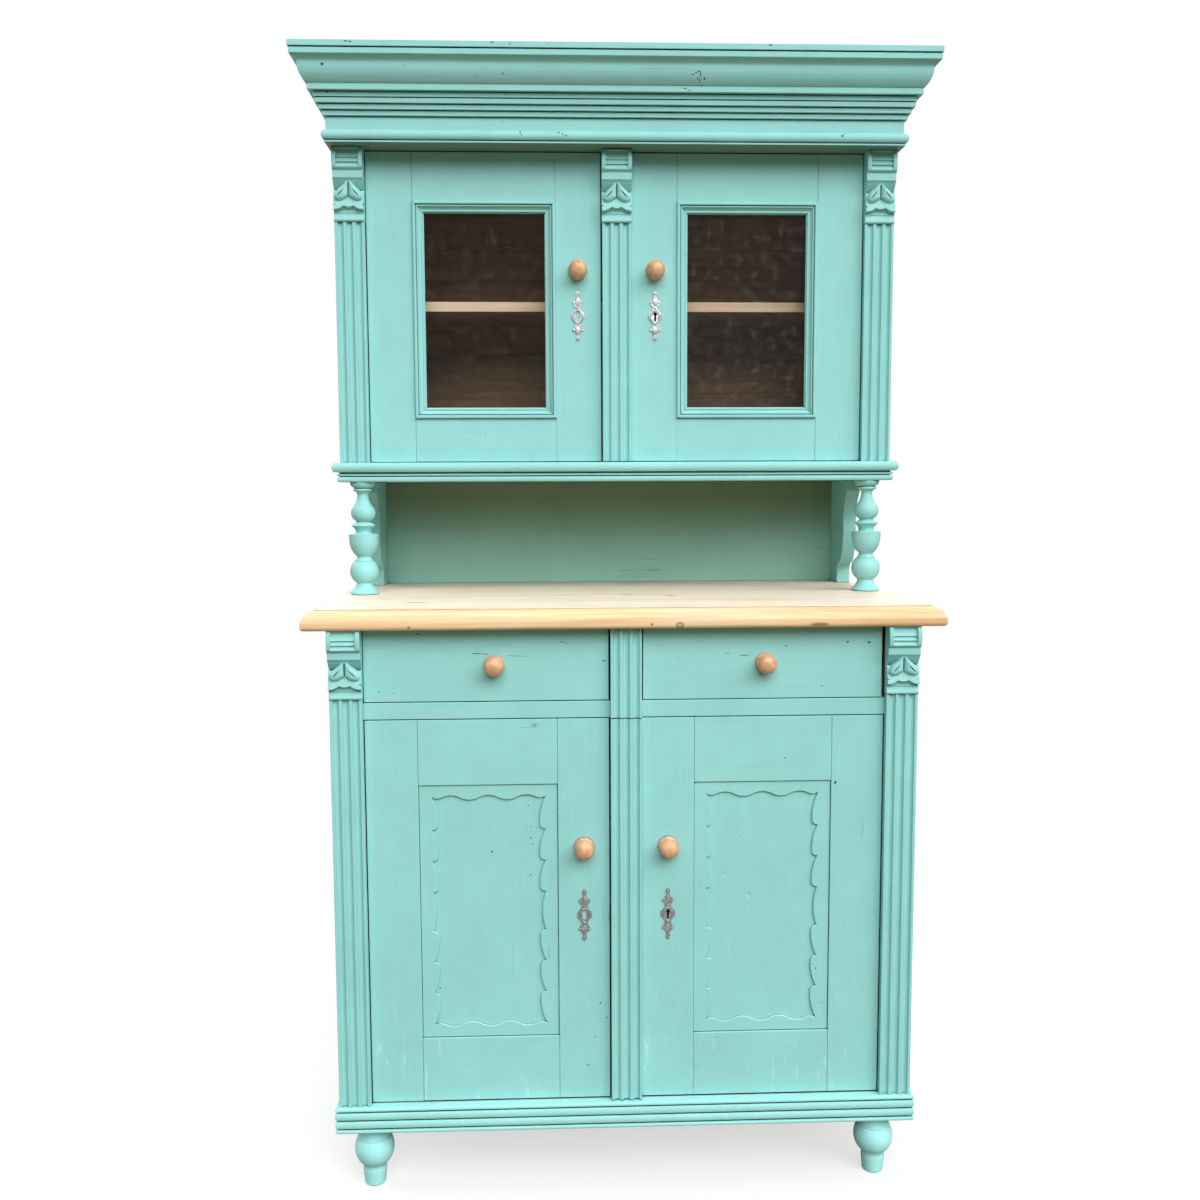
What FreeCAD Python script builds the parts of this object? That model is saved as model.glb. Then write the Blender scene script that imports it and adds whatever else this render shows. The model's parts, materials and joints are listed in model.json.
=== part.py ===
import FreeCAD, Part
import math
import operator
import os

import Sketcher

# A painted pine kitchen dresser: base cabinet, worktop, open niche and glazed top cupboard.
# +Z is up, the front faces -Y, and the origin is on the floor, midway between the sides.

# Driving dimensions in millimetres
DIMENSIONS = (
    ("front_line", 254, "base's pilasters in front of the origin"),
    ("back_line", 290, "worktop's back edge behind the origin"),
    ("worktop_top", 1008, "height of the worktop"),
    ("worktop_thick", 34, "worktop board"),
    ("worktop_front_reach", 20, "worktop beyond the base's pilasters"),
    ("worktop_side_reach", 41, "worktop beyond the base's sides"),
    ("base_half", 490, "half the width over the base cabinet's sides"),
    ("hutch_half", 508, "half the width over the top cupboard's sides"),
    ("hutch_setback", 261, "top cupboard's pilasters behind the base's"),
    ("pilaster_wide", 52, "pilasters, posts and closing strips"),
    ("pilaster_thick", 13, "pilaster in front of the door faces"),
    ("flute_wide", 10.5, "one flute"),
    ("flute_pitch", 16.5, "flute to flute"),
    ("flute_deep", 5, "depth of a flute"),
    ("pilaster_cover", 1.5, "pilaster over the gap beside its door"),
    ("corbel_wide", 54, "carved corbels"),
    ("base_corbel_high", 116, "corbels under the worktop"),
    ("hutch_corbel_high", 128, "corbels under the cornice"),
    ("corbel_reach", 17, "corbel's scroll beyond the pilaster"),
    ("side_thick", 20, "side boards"),
    ("back_thick", 12, "back boards"),
    ("door_thick", 22, "doors, posts and drawer fronts"),
    ("hinge_gap", 2.5, "door edge to post"),
    ("meeting_gap", 2.5, "between the two doors of a pair"),
    ("door_clear", 1.5, "above and below each door"),
    ("pivot_inset", 12, "pivot pin from the door's edge"),
    ("pivot_depth", 7, "pivot pin behind the door's face"),
    ("pin_radius", 3, "pivot pin"),
    ("pin_play", 0.05, "pivot pin in its bush, on the radius"),
    ("bush_radius", 5, "outside of a pivot bush"),
    ("bush_long", 12, "depth of a pivot bush"),
    ("pin_grip", 18, "pivot pin inside the door"),
    ("tenon_long", 28, "tenons of the door rails"),
    ("tenon_shoulder", 14, "door rail above and below its tenon"),
    ("foot_high", 112, "feet below the plinth"),
    ("foot_inset", 42, "foot's middle behind the base's front"),
    ("foot_aside", 438, "foot's middle from the dresser's middle"),
    ("plinth_high", 45, "plinth moulding"),
    ("plinth_reach", 7, "plinth beyond the base"),
    ("bottom_thick", 30, "base cabinet's floor"),
    ("rail_bottom", 822, "underside of the drawer rail"),
    ("rail_thick", 28, "drawer rail and runners"),
    ("rail_deep", 50, "drawer rail, front to back"),
    ("drawer_gap", 2.5, "around each drawer front"),
    ("planed_gap", 6.5, "at the right drawer's outer end, planed back"),
    ("drawer_deep", 476, "drawer, front to back"),
    ("drawer_side_high", 98, "drawer sides"),
    ("drawer_board", 12, "drawer sides and back"),
    ("drawer_base", 6, "drawer bottom"),
    ("drawer_base_high", 10, "drawer bottom above the sides' lower edge"),
    ("drawer_play", 0.5, "drawer sides above the runners"),
    ("dovetail_long", 14, "dovetails into the drawer front"),
    ("guide_high", 28, "drawer guides above the rail"),
    ("guide_setback", 6, "runners and guides before the back boards"),
    ("runner_wide", 58, "side runners"),
    ("middle_runner_half", 60, "half the middle runner"),
    ("left_knob_aside", 219, "left drawer's knob from the middle"),
    ("right_knob_aside", 234, "right drawer's knob from the middle"),
    ("base_shelf_top", 500, "base cabinet's shelf"),
    ("shelf_thick", 18, "both shelves"),
    ("shelf_setback", 30, "base shelf behind the doors"),
    ("batten_thick", 20, "battens under the shelves"),
    ("batten_setback", 10, "battens behind their shelf's edges"),
    ("panel_near", 115, "lower panels' edges nearest the middle"),
    ("panel_far", 348, "lower panels' outer edges"),
    ("panel_top", 709, "top of the lower panels"),
    ("panel_bottom", 270, "bottom of the lower panels"),
    ("panel_thick", 10, "lower panel"),
    ("panel_setback", 7, "lower panel behind the door's face"),
    ("panel_tongue", 8, "lower panel inside its frame"),
    ("fret_thick", 4, "scalloped border on the lower panels"),
    ("lower_knob_high", 600, "lower doors' knobs"),
    ("lower_keyhole_high", 482, "lower doors' keyholes"),
    ("knob_aside", 71, "door knobs and keyholes from the middle"),
    ("knob_radius", 17.5, "turned knob"),
    ("knob_reach", 33, "turned knob in front of its board"),
    ("hutch_floor_bottom", 1216, "underside of the top cupboard's floor"),
    ("hutch_floor_thick", 35, "top cupboard's floor"),
    ("waist_reach", 14, "moulded edge of that floor"),
    ("hutch_roof_bottom", 1810, "underside of the top cupboard's roof"),
    ("hutch_roof_thick", 21.5, "top cupboard's roof"),
    ("astragal_reach", 13, "rounded edge of that roof"),
    ("crown_bottom", 1892.5, "foot of the crown moulding"),
    ("cornice_top", 1965.5, "top of the cornice"),
    ("cornice_reach", 58, "cornice beyond the top cupboard's sides"),
    ("cornice_forward", 31, "cornice and roof ahead of the upper pilasters"),
    ("cornice_inset", 14, "cornice mouldings inside that line"),
    ("hutch_shelf_top", 1551, "top cupboard's shelf"),
    ("hutch_shelf_setback", 69, "that shelf behind the pilasters"),
    ("board_joint_low", 1264, "lowest joint of the top cupboard's back"),
    ("board_wide", 211, "top cupboard's back boards"),
    ("pane_near", 111, "door openings' edges nearest the middle"),
    ("pane_far", 370, "door openings' outer edges"),
    ("pane_top", 1722, "top of the glazed openings"),
    ("pane_bottom", 1332, "bottom of the glazed openings"),
    ("glazing_wide", 20, "glazing moulding"),
    ("glass_thick", 3, "window glass"),
    ("glass_setback", 12, "glass behind the door's face"),
    ("bead_wide", 9, "beads behind the glass"),
    ("upper_knob_high", 1599, "upper doors' knobs"),
    ("upper_keyhole_high", 1517, "upper doors' keyholes"),
    ("column_aside", 471, "column's middle from the dresser's middle"),
    ("column_inset", 20, "column's middle behind the upper pilasters"),
    ("bracket_inside", 462, "brackets' inner faces"),
    ("bracket_deep", 136, "brackets at the top"),
    ("escutcheon_thick", 1.6, "pressed metal escutcheon"),
    ("lock_deep", 13, "rim lock case"),
    ("lock_aside", 22, "rim lock case beyond its keyhole"),
    ("bolt_long", 64, "lock bolt"),
    ("bolt_play", 0.4, "lock bolt in its case"),
    ("catch_near", 36, "catches' edges nearest the middle"),
    ("catch_far", 76, "catches' outer edges"),
    ("catch_high", 14, "magnetic catches"),
    ("catch_deep", 14, "magnetic catches, front to back"),
    ("strike_thick", 1, "strike plates on the doors"),
    ("plate_gap", 0.8, "between back boards"),
)

doc = FreeCAD.newDocument("kitchen_dresser")
sheet = doc.addObject("Spreadsheet::Sheet", "dims")
OPERATIONS = {"+": operator.add, "-": operator.sub, "*": operator.mul, "/": operator.truediv}


class Size:
    """A length that carries its number and the sheet formula that gives it."""

    def __init__(self, value, formula):
        self.value = value
        self.formula = formula

    def combine(self, sign, other, swapped=False):
        first, second = as_size(self), as_size(other)
        if swapped:
            first, second = second, first
        value = OPERATIONS[sign](first.value, second.value)
        return Size(value, f"({first.formula} {sign} {second.formula})")

    def __add__(self, other):
        return self.combine("+", other)

    def __radd__(self, other):
        return self.combine("+", other, swapped=True)

    def __sub__(self, other):
        return self.combine("-", other)

    def __rsub__(self, other):
        return self.combine("-", other, swapped=True)

    def __mul__(self, other):
        return self.combine("*", other)

    def __rmul__(self, other):
        return self.combine("*", other, swapped=True)

    def __truediv__(self, other):
        return self.combine("/", other)

    def __neg__(self):
        return self.combine("-", 0, swapped=True)


def as_size(number):
    return number if isinstance(number, Size) else Size(float(number), f"{number:.9g}")


def fill_sheet():
    """Write the driving dimensions to the sheet and give them back by name."""
    sizes = {}
    for row, (alias, value, note) in enumerate(DIMENSIONS, start=1):
        sheet.set(f"A{row}", note)
        sheet.set(f"B{row}", str(value))
        sheet.setAlias(f"B{row}", alias)
        sizes[alias] = Size(float(value), f"dims.{alias}")
    doc.recompute()
    return sizes


D = fill_sheet()
nodes = []


def bind(thing, prop, size):
    thing.setExpression(prop, as_size(size).formula)


def place(thing, x=0, y=0, z=0):
    """Bind where a piece stands."""
    for axis, size in (("x", x), ("y", y), ("z", z)):
        bind(thing, f"Placement.Base.{axis}", size)


def board(label, x, y, z):
    """A plain board between two faces along each axis."""
    box = doc.addObject("Part::Box", label)
    for prop, (low, high) in (("Length", x), ("Width", y), ("Height", z)):
        bind(box, prop, as_size(high) - low)
    place(box, x[0], y[0], z[0])
    return box


def rod(label, radius, height, x, y, z, along="z"):
    """A round rod that starts at a point and runs along +Z or +Y."""
    cylinder = doc.addObject("Part::Cylinder", label)
    turn = 0 if along == "z" else -90
    tilt = FreeCAD.Rotation(FreeCAD.Vector(1, 0, 0), turn)
    cylinder.Placement = FreeCAD.Placement(FreeCAD.Vector(), tilt)
    bind(cylinder, "Radius", radius)
    bind(cylinder, "Height", height)
    place(cylinder, x, y, z)
    return cylinder


def cut(label, base, *tools):
    """Cut every tool out of a base, in turn."""
    for tool in tools:
        step = doc.addObject("Part::Cut", label)
        step.Base = base
        step.Tool = tool
        base = step
    return base


def fused(label, *pieces):
    joined = doc.addObject("Part::MultiFuse", label)
    joined.Shapes = list(pieces)
    return joined


def common(label, first, second):
    shared = doc.addObject("Part::Common", label)
    shared.Base = first
    shared.Tool = second
    return shared


def mirrored(label, source):
    """The same piece on the other side of the dresser's middle."""
    mirror = doc.addObject("Part::Mirroring", label)
    mirror.Source = source
    mirror.Normal = FreeCAD.Vector(1, 0, 0)
    return mirror


def pair(source):
    return [source, mirrored(source.Label + "_mirror", source)]


def node(label, *pieces):
    """Name a finished sub-part: one piece, or a group of separate pieces."""
    if len(pieces) == 1:
        piece = pieces[0]
    else:
        piece = doc.addObject("Part::Compound", label)
        piece.Links = list(pieces)
    for other in doc.Objects:
        if other.Label == label and other is not piece:
            other.Label = label + "_stage"
    piece.Label = label
    nodes.append(piece)
    return piece


def arc_between(start, end, bulge):
    """The arc from one corner to the next; bulge is tan(angle / 4), positive anticlockwise."""
    along = end - start
    middle = start + along * 0.5
    aside = FreeCAD.Vector(along.y, -along.x, 0) * (bulge * 0.5)
    if bulge > 0:
        return Part.Arc(start, middle + aside, end)
    return Part.Arc(end, middle + aside, start)


def flipped(corners, across=False, upside_down=False):
    """The same corners with one coordinate reversed, so their arcs bulge the other way."""
    made = []
    for u, v, *bulge in corners:
        made.append((-u if across else u, -v if upside_down else v, *[-turn for turn in bulge]))
    return made


def walked_back(corners):
    """The same corners in the opposite order, each arc kept between its own two corners."""
    made = []
    for index in range(len(corners) - 1, -1, -1):
        before = corners[index - 1][2:] if index else ()
        made.append((*corners[index][:2], *[-turn for turn in before]))
    return made


def draw(body, plane_role, corners):
    """A closed sketch through corners (u, v) or (u, v, bulge of the arc to the next corner)."""
    sketch = body.newObject("Sketcher::SketchObject", body.Name + "_sketch")
    plane = next(item for item in body.Origin.OriginFeatures if item.Role == plane_role)
    sketch.AttachmentSupport = [(plane, "")]
    sketch.MapMode = "FlatFace"
    spots = [(as_size(corner[0]), as_size(corner[1])) for corner in corners]
    bulges = [corner[2] if len(corner) == 3 else 0 for corner in corners]
    points = [FreeCAD.Vector(u.value, v.value, 0) for u, v in spots]
    count = len(points)
    lines = []
    for index in range(count):
        start, end = points[index], points[(index + 1) % count]
        if bulges[index]:
            lines.append(arc_between(start, end, bulges[index]))
        else:
            lines.append(Part.LineSegment(start, end))
    sketch.addGeometry(lines)
    ends = []
    for index, point in enumerate(points):
        start_first = sketch.Geometry[index].StartPoint.distanceToPoint(point) < 1e-6
        ends.append((1, 2) if start_first else (2, 1))
    rules = []
    formulas = {}
    for index in range(count):
        after = (index + 1) % count
        rules.append(Sketcher.Constraint("Coincident", index, ends[index][1], after, ends[after][0]))
        for name, axis, size in (("DistanceX", -2, spots[index][0]), ("DistanceY", -1, spots[index][1])):
            if abs(size.value) < 1e-9:
                rules.append(Sketcher.Constraint("PointOnObject", index, ends[index][0], axis))
            else:
                formulas[len(rules)] = size.formula
                rules.append(Sketcher.Constraint(name, index, ends[index][0], size.value))
        if bulges[index]:
            across = spots[after][0] - spots[index][0]
            rise = spots[after][1] - spots[index][1]
            share = (1 + bulges[index] ** 2) / (4 * abs(bulges[index]))
            formulas[len(rules)] = f"sqrt({across.formula}^2 + {rise.formula}^2) * {share:.9g}"
            chord = math.hypot(across.value, rise.value)
            rules.append(Sketcher.Constraint("Radius", index, chord * share))
    sketch.addConstraint(rules)
    for rule, formula in formulas.items():
        sketch.setExpression(f"Constraints[{rule}]", formula)
    return sketch


def extruded(label, plane_role, corners, length, x=0, y=0, z=0):
    """A section drawn on a plane and padded: XY goes up, YZ goes to +X, XZ goes to -Y."""
    body = doc.addObject("PartDesign::Body", label)
    sketch = draw(body, plane_role, corners)
    pad = body.newObject("PartDesign::Pad", label + "_pad")
    pad.Profile = sketch
    bind(pad, "Length", length)
    place(body, x, y, z)
    return body


def turned(label, corners, x=0, y=0, z=0, forward=False):
    """A section (radius, height) spun about its own axis, upright or pointing forward."""
    body = doc.addObject("PartDesign::Body", label)
    turn = 90 if forward else 0
    tilt = FreeCAD.Rotation(FreeCAD.Vector(1, 0, 0), turn)
    body.Placement = FreeCAD.Placement(FreeCAD.Vector(), tilt)
    sketch = draw(body, "XZ_Plane", corners)
    spin = body.newObject("PartDesign::Revolution", label + "_spin")
    spin.Profile = sketch
    spin.ReferenceAxis = (sketch, ["V_Axis"])
    spin.Angle = 360
    place(body, x, y, z)
    return body


# Planes that the pieces share
worktop_bottom = D["worktop_top"] - D["worktop_thick"]
base_front = D["front_line"] * -1
base_face = base_front + D["pilaster_thick"]
base_inside = base_face + D["door_thick"]
hutch_front = base_front + D["hutch_setback"]
hutch_face = hutch_front + D["pilaster_thick"]
hutch_inside = hutch_face + D["door_thick"]
cornice_front = hutch_front - D["cornice_forward"]
back_outside = D["back_line"] - 1
back_inside = back_outside - D["back_thick"]
plinth_top = D["foot_high"] + D["plinth_high"]
base_post = D["base_half"] - D["pilaster_wide"]
hutch_post = D["hutch_half"] - D["pilaster_wide"]
strip_half = D["pilaster_wide"] / 2
pilaster_half = strip_half + D["pilaster_cover"] / 2
rail_top = D["rail_bottom"] + D["rail_thick"]
hutch_floor_top = D["hutch_floor_bottom"] + D["hutch_floor_thick"]
hutch_roof_top = D["hutch_roof_bottom"] + D["hutch_roof_thick"]
base_side = D["base_half"] - D["side_thick"]
hutch_side = D["hutch_half"] - D["side_thick"]

# Where each pair of pivot bushes stands: aside, back and up
pivot_aside = D["hinge_gap"] + D["pivot_inset"]
base_pivot = (base_post - pivot_aside, base_face + D["pivot_depth"])
hutch_pivot = (hutch_post - pivot_aside, hutch_face + D["pivot_depth"])
pivots = {
    "base_floor": (*base_pivot, plinth_top - D["bush_long"]),
    "drawer_rail": (*base_pivot, D["rail_bottom"]),
    "hutch_floor": (*hutch_pivot, hutch_floor_top - D["bush_long"]),
    "hutch_roof": (*hutch_pivot, D["hutch_roof_bottom"]),
}


def both_ways(half):
    return (-half, half)


def on_side(sign, near, far):
    """A span between two distances from the middle, on the right (+1) or the left (-1)."""
    return (near, far) if sign > 0 else (-far, -near)


def pivot_plugs(place_name, kind, radius):
    """A left and a right plug where a pair of pivot bushes stands."""
    x, y, z = pivots[place_name]
    return [rod(f"{place_name}_{kind}_{side}", radius, D["bush_long"], at, y, z)
            for side, at in zip(("left", "right"), both_ways(x))]


def edged_board(label, edge, half, front, back, bottom):
    """A board with one moulded edge along its front and both sides.

    The edge is (reach, height) from the bottom up, with positive bulges outward.
    """
    deep = back - front
    section = [*flipped(edge, across=True), (deep, edge[-1][1]), (deep, edge[0][1])]
    margin = D["cornice_reach"] * 2
    along = extruded(label + "_front", "YZ_Plane", section, (half + margin) * 2, -(half + margin), front,
                     bottom)
    right_edge = [(half + reach, *rest) for reach, *rest in edge]
    left_edge = walked_back(flipped(right_edge, across=True))
    across = extruded(label + "_sides", "XZ_Plane", right_edge + left_edge, deep + margin, 0, back, bottom)
    return common(label, along, across)


def mitred_lengths(label, section, half, front, back, reach, inset, bottom, top):
    """A moulding round the front and both sides, in three mitred lengths."""
    out = reach + 1
    inn = inset + 1
    depth = top - bottom
    front_run = extruded(label + "_front_run", "YZ_Plane", flipped(section, across=True),
                         (half + out) * 2, -(half + out), front, bottom)
    side_run = extruded(label + "_side_run", "XZ_Plane", section, back - front + out, half, back, bottom)
    front_plan = [(-(half + out), -out), (half + out, -out), (half - inn, inn), (-(half - inn), inn)]
    deep = back - front
    side_plan = [(half + out, -out), (half + out, deep), (half - inn, deep), (half - inn, inn)]
    front_block = extruded(label + "_front_plan", "XY_Plane", front_plan, depth, 0, front, bottom)
    side_block = extruded(label + "_side_plan", "XY_Plane", side_plan, depth, 0, front, bottom)
    front_length = common(label + "_front", front_run, front_block)
    side_length = common(label + "_right", side_run, side_block)
    return [front_length, *pair(side_length)]


def fluted_strip(label, x, front, bottom, top, half=None):
    """A pilaster or closing strip with three flutes down its face."""
    half = half or strip_half
    bulge = (D["flute_deep"] / D["flute_wide"] * 2).value
    face = [(-half, 0)]
    for step in (-1, 0, 1):
        face.append((D["flute_pitch"] * step - D["flute_wide"] / 2, 0, -bulge))
        face.append((D["flute_pitch"] * step + D["flute_wide"] / 2, 0))
    face += [(half, 0), (half, D["pilaster_thick"]), (-half, D["pilaster_thick"])]
    return extruded(label, "XY_Plane", face, top - bottom, x, front, bottom)


def corbel(label, x, face, top, high):
    """A carved corbel's block: scroll, band, leaf and necking in side view."""
    out = D["pilaster_thick"] + D["corbel_reach"]
    section = [
        (0, 0),
        (-(out - 4), 0, 0.16),
        (-(out - 1), high * -0.255, 0.3),
        (-(out - 7), high * -0.31),
        (-(out - 7), high * -0.415, -0.25),
        (-(out - 15), high * -0.60, 0.15),
        (-(out - 14), high * -0.86),
        (-D["pilaster_thick"], high * -0.90),
        (-D["pilaster_thick"], high * -1),
        (0, high * -1),
    ]
    return extruded(label, "YZ_Plane", section, D["corbel_wide"], x - D["corbel_wide"] / 2, face, top)


def feet():
    """Four turned feet, each with a spigot into the cabinet's floor."""
    shoulder = plinth_top - D["bottom_thick"]
    section = [
        (0, 0), (17, 0, 0.3), (18.3, 3), (20.5, 26, -0.3), (27.5, 43, 0.28), (29.6, 82), (28, 82.8),
        (28, 84.2), (29, 85, -0.1), (23.5, 103), (23.5, shoulder), (11, shoulder), (11, shoulder + 18),
        (0, shoulder + 18),
    ]
    made = []
    for end, y in (("front", base_front + D["foot_inset"]), ("rear", back_inside - D["foot_inset"])):
        for side, x in (("left", -D["foot_aside"]), ("right", D["foot_aside"])):
            made.append(turned(f"foot_{end}_{side}", section, x, y, 0))
    return made


def base_cabinet():
    """The base carcass from plinth to worktop, without its drawers and doors."""
    standing = (plinth_top, worktop_bottom)
    side = board("base_side", (base_side, D["base_half"]), (base_inside, back_inside), standing)
    post = board("base_post", (base_post, D["base_half"]), (base_face, base_inside), standing)
    node("base_sides", *pair(side), *pair(post))

    turned_feet = feet()
    node("turned_feet", *turned_feet)
    floor_half = D["base_half"] - D["pilaster_thick"]
    floor = board("floor_blank", both_ways(floor_half), (base_face, back_inside),
                  (plinth_top - D["bottom_thick"], plinth_top))
    node("base_bottom_board", cut("base_bottom_board", floor, *turned_feet, *bush_seats["base_floor"]))

    count = 7
    wide = D["base_half"] * 2 / count
    boards = []
    for step in range(count):
        left = wide * step - D["base_half"]
        boards.append(board(f"base_back_{step}",
                            (left + D["plate_gap"] / 2, left + wide - D["plate_gap"] / 2),
                            (back_inside, back_outside), (plinth_top - D["bottom_thick"], worktop_bottom)))
    node("base_back_boards", *boards)

    shelf_bottom = D["base_shelf_top"] - D["shelf_thick"]
    shelf_front = base_inside + D["shelf_setback"]
    shelf = board("base_shelf_board", both_ways(base_side), (shelf_front, back_inside),
                  (shelf_bottom, D["base_shelf_top"]))
    batten = board("base_batten", (base_side - D["batten_thick"], base_side),
                   (shelf_front + D["batten_setback"], back_inside - D["batten_setback"]),
                   (shelf_bottom - D["batten_thick"], shelf_bottom))
    node("base_shelf", shelf, *pair(batten))

    high = D["plinth_high"]
    out = D["plinth_reach"]
    inset = D["pilaster_thick"]
    section = [
        (-inset, 0), (out - 2, 0, 0.3), (out - 2, 6.4), (out - 6, 6.6), (out - 6, 8.6), (out - 2, 8.8, 0.22),
        (out - 2, 21.2), (out - 6, 21.4), (out - 6, 23.4), (out - 2, 23.6, 0.22), (out - 2, 36.2),
        (out - 6, 36.4), (out - 6, 38.4), (out - 1.5, 38.6, 0.35), (out - 3, high), (-inset, high),
    ]
    node("plinth_moulding", *mitred_lengths("plinth", section, D["base_half"], base_front, back_inside,
                                            out, inset, D["foot_high"], plinth_top))

    corbel_bottom = worktop_bottom - D["base_corbel_high"]
    middle = D["base_half"] - pilaster_half
    pilaster = fluted_strip("base_pilaster", middle, base_front, plinth_top, corbel_bottom, pilaster_half)
    node("base_pilasters", *pair(pilaster))
    carved = corbel("base_corbel", middle, base_face, worktop_bottom, D["base_corbel_high"])
    node("base_corbels", *pair(carved))


def drawer_bay():
    """Rail, divider, runners and guides that carry the drawers."""
    rail = board("rail_blank", both_ways(base_post), (base_face, base_face + D["rail_deep"]),
                 (D["rail_bottom"], rail_top))
    node("drawer_rail", cut("drawer_rail", rail, *bush_seats["drawer_rail"]))
    post = board("divider_post", both_ways(strip_half), (base_face, base_inside), (rail_top, worktop_bottom))
    strip = fluted_strip("divider_strip", 0, base_front, D["rail_bottom"], worktop_bottom)
    node("drawer_divider", post, strip)

    end = back_inside - D["guide_setback"]
    run = (base_face + D["rail_deep"], end)
    level = (D["rail_bottom"], rail_top)
    guide_run = (base_inside, end)
    guide_level = (rail_top, rail_top + D["guide_high"])
    side_runner = board("runner_side", (base_side - D["runner_wide"], base_side), run, level)
    side_guide = board("guide_side", (base_post - 1, base_side), guide_run, guide_level)
    node("drawer_runners", *pair(side_runner), *pair(side_guide),
         board("runner_middle", both_ways(D["middle_runner_half"]), run, level),
         board("guide_middle", both_ways(strip_half), guide_run, guide_level))


def knob(label, x, face, z):
    """A turned ball knob on a spigot, pointing forward from its board."""
    radius, reach = D["knob_radius"], D["knob_reach"]
    section = [
        (0, -16), (5, -16), (5, 0), (radius * 0.6, 0), (radius * 0.6, 2, -0.35),
        (radius * 0.56, reach * 0.22, 0.22), (radius, reach * 0.58, 0.2), (radius * 0.72, reach * 0.9, 0.16),
        (radius * 0.1, reach), (0, reach),
    ]
    return turned(label, section, x, face, z, forward=True)


def drawer(name, left, right, knob_x):
    """A drawer with a dovetailed front, two sides, a back and a bottom let into grooves."""
    low = rail_top + D["drawer_play"]
    front_low = rail_top + D["drawer_play"] * 3
    front_high = worktop_bottom - D["drawer_gap"]
    side_high = low + D["drawer_side_high"]
    end = base_face + D["drawer_deep"]
    thick = D["drawer_board"]
    bottom_low = low + D["drawer_base_high"]
    dovetail = D["dovetail_long"]
    bottom = board(f"{name}_bottom", (left + thick / 2, right - thick / 2), (base_inside - thick / 2, end),
                   (bottom_low, bottom_low + D["drawer_base"]))
    sides = []
    for side, x in (("left", (left, left + thick)), ("right", (right - thick, right))):
        plank = board(f"{name}_{side}_plank", x, (base_inside, end), (low, side_high))
        tails = []
        for step in range(3):
            middle = low + D["drawer_side_high"] * (step + 0.5) / 3
            tail = doc.addObject("Part::Wedge", f"{name}_{side}_tail_{step}")
            for prop, size in (("Xmin", 0), ("X2min", 0), ("Xmax", thick), ("X2max", thick), ("Ymin", 0),
                               ("Ymax", dovetail), ("Zmin", -12), ("Zmax", 12), ("Z2min", -9), ("Z2max", 9)):
                bind(tail, prop, size)
            place(tail, x[0], base_inside - dovetail, middle)
            tails.append(tail)
        sides.append(cut(f"{name}_{side}_side", fused(f"{name}_{side}_joined", plank, *tails), bottom))
    back = board(f"{name}_back", (left + thick, right - thick), (end - thick, end),
                 (bottom_low + D["drawer_base"], side_high))
    pull = knob(f"{name}_knob", knob_x, base_face, (front_low + front_high) / 2)
    blank = board(f"{name}_front_blank", (left, right), (base_face, base_inside), (front_low, front_high))
    node(f"{name}_front", cut(f"{name}_front", blank, *sides, bottom, pull))
    node(f"{name}_box", *sides, back, bottom)
    node(f"{name}_knob", pull)


def pivot_pins(name, x, y, low, high):
    """A door's two pivot pins, each reaching past the door's end."""
    out = D["bush_long"] - 2 + D["door_clear"]
    long = out + D["pin_grip"]
    return [rod(f"{name}_pin_low", D["pin_radius"], long, x, y, low - out),
            rod(f"{name}_pin_high", D["pin_radius"], long, x, y, high - D["pin_grip"])]


def escutcheon(label, x, face, z):
    """A pressed plate: round tips, diamond lobes and an oval middle with a keyhole."""
    lower = [(3, -41.5, 0.5), (2.4, -36.5, -0.3), (10.5, -24.5), (4.5, -15, -0.2), (11.4, -5.5, 0.2)]
    tip = 45
    right = [*lower, *walked_back(flipped(lower, upside_down=True))[:-1], (3, 41.5, 0.25)]
    left = walked_back(flipped(right, across=True))
    outline = [(0, -tip, 0.25), *right, (0, tip, 0.25), *left[:-1], (-3, -41.5, 0.25)]
    plate = extruded(f"{label}_plate", "XZ_Plane", outline, D["escutcheon_thick"], x, face, z)
    return cut(label, plate, *keyhole(label, x, face - 5, z, 10))


def keyhole(label, x, y, z, deep):
    """Round and slot of a keyhole, as cutters."""
    eye = rod(f"{label}_eye", 3.3, deep, x, y, z + 4, along="y")
    slot = board(f"{label}_slot", (x - 1.7, x + 1.7), (y, y + deep), (z - 9, z + 4))
    return [eye, slot]


def door_frame(name, stiles, rails, inside, y, tools):
    """Two stiles and two rails with hidden tenons; tools are what each piece makes room for."""
    lap = D["door_thick"] / 3
    tenon_x = (inside[0] - D["tenon_long"], inside[1] + D["tenon_long"])
    tenon_y = (y[0] + lap, y[1] - lap)
    rail_pieces = []
    for end, (low, high) in rails.items():
        plank = board(f"{name}_{end}_rail_plank", inside, y, (low, high))
        tenon = board(f"{name}_{end}_tenon", tenon_x, tenon_y,
                      (low + D["tenon_shoulder"], high - D["tenon_shoulder"]))
        rail_pieces.append(fused(f"{name}_{end}_rail_joined", plank, tenon))
    low, high = rails["bottom"][0], rails["top"][1]
    made = []
    for side, x in stiles.items():
        plank = board(f"{name}_{side}_stile_plank", x, y, (low, high))
        made.append(cut(f"{name}_{side}_stile", plank, *rail_pieces, *tools[side]))
    for end, piece in zip(rails, rail_pieces):
        made.append(cut(f"{name}_{end}_rail", piece, *tools["rails"]) if tools["rails"] else piece)
    return made


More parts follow.
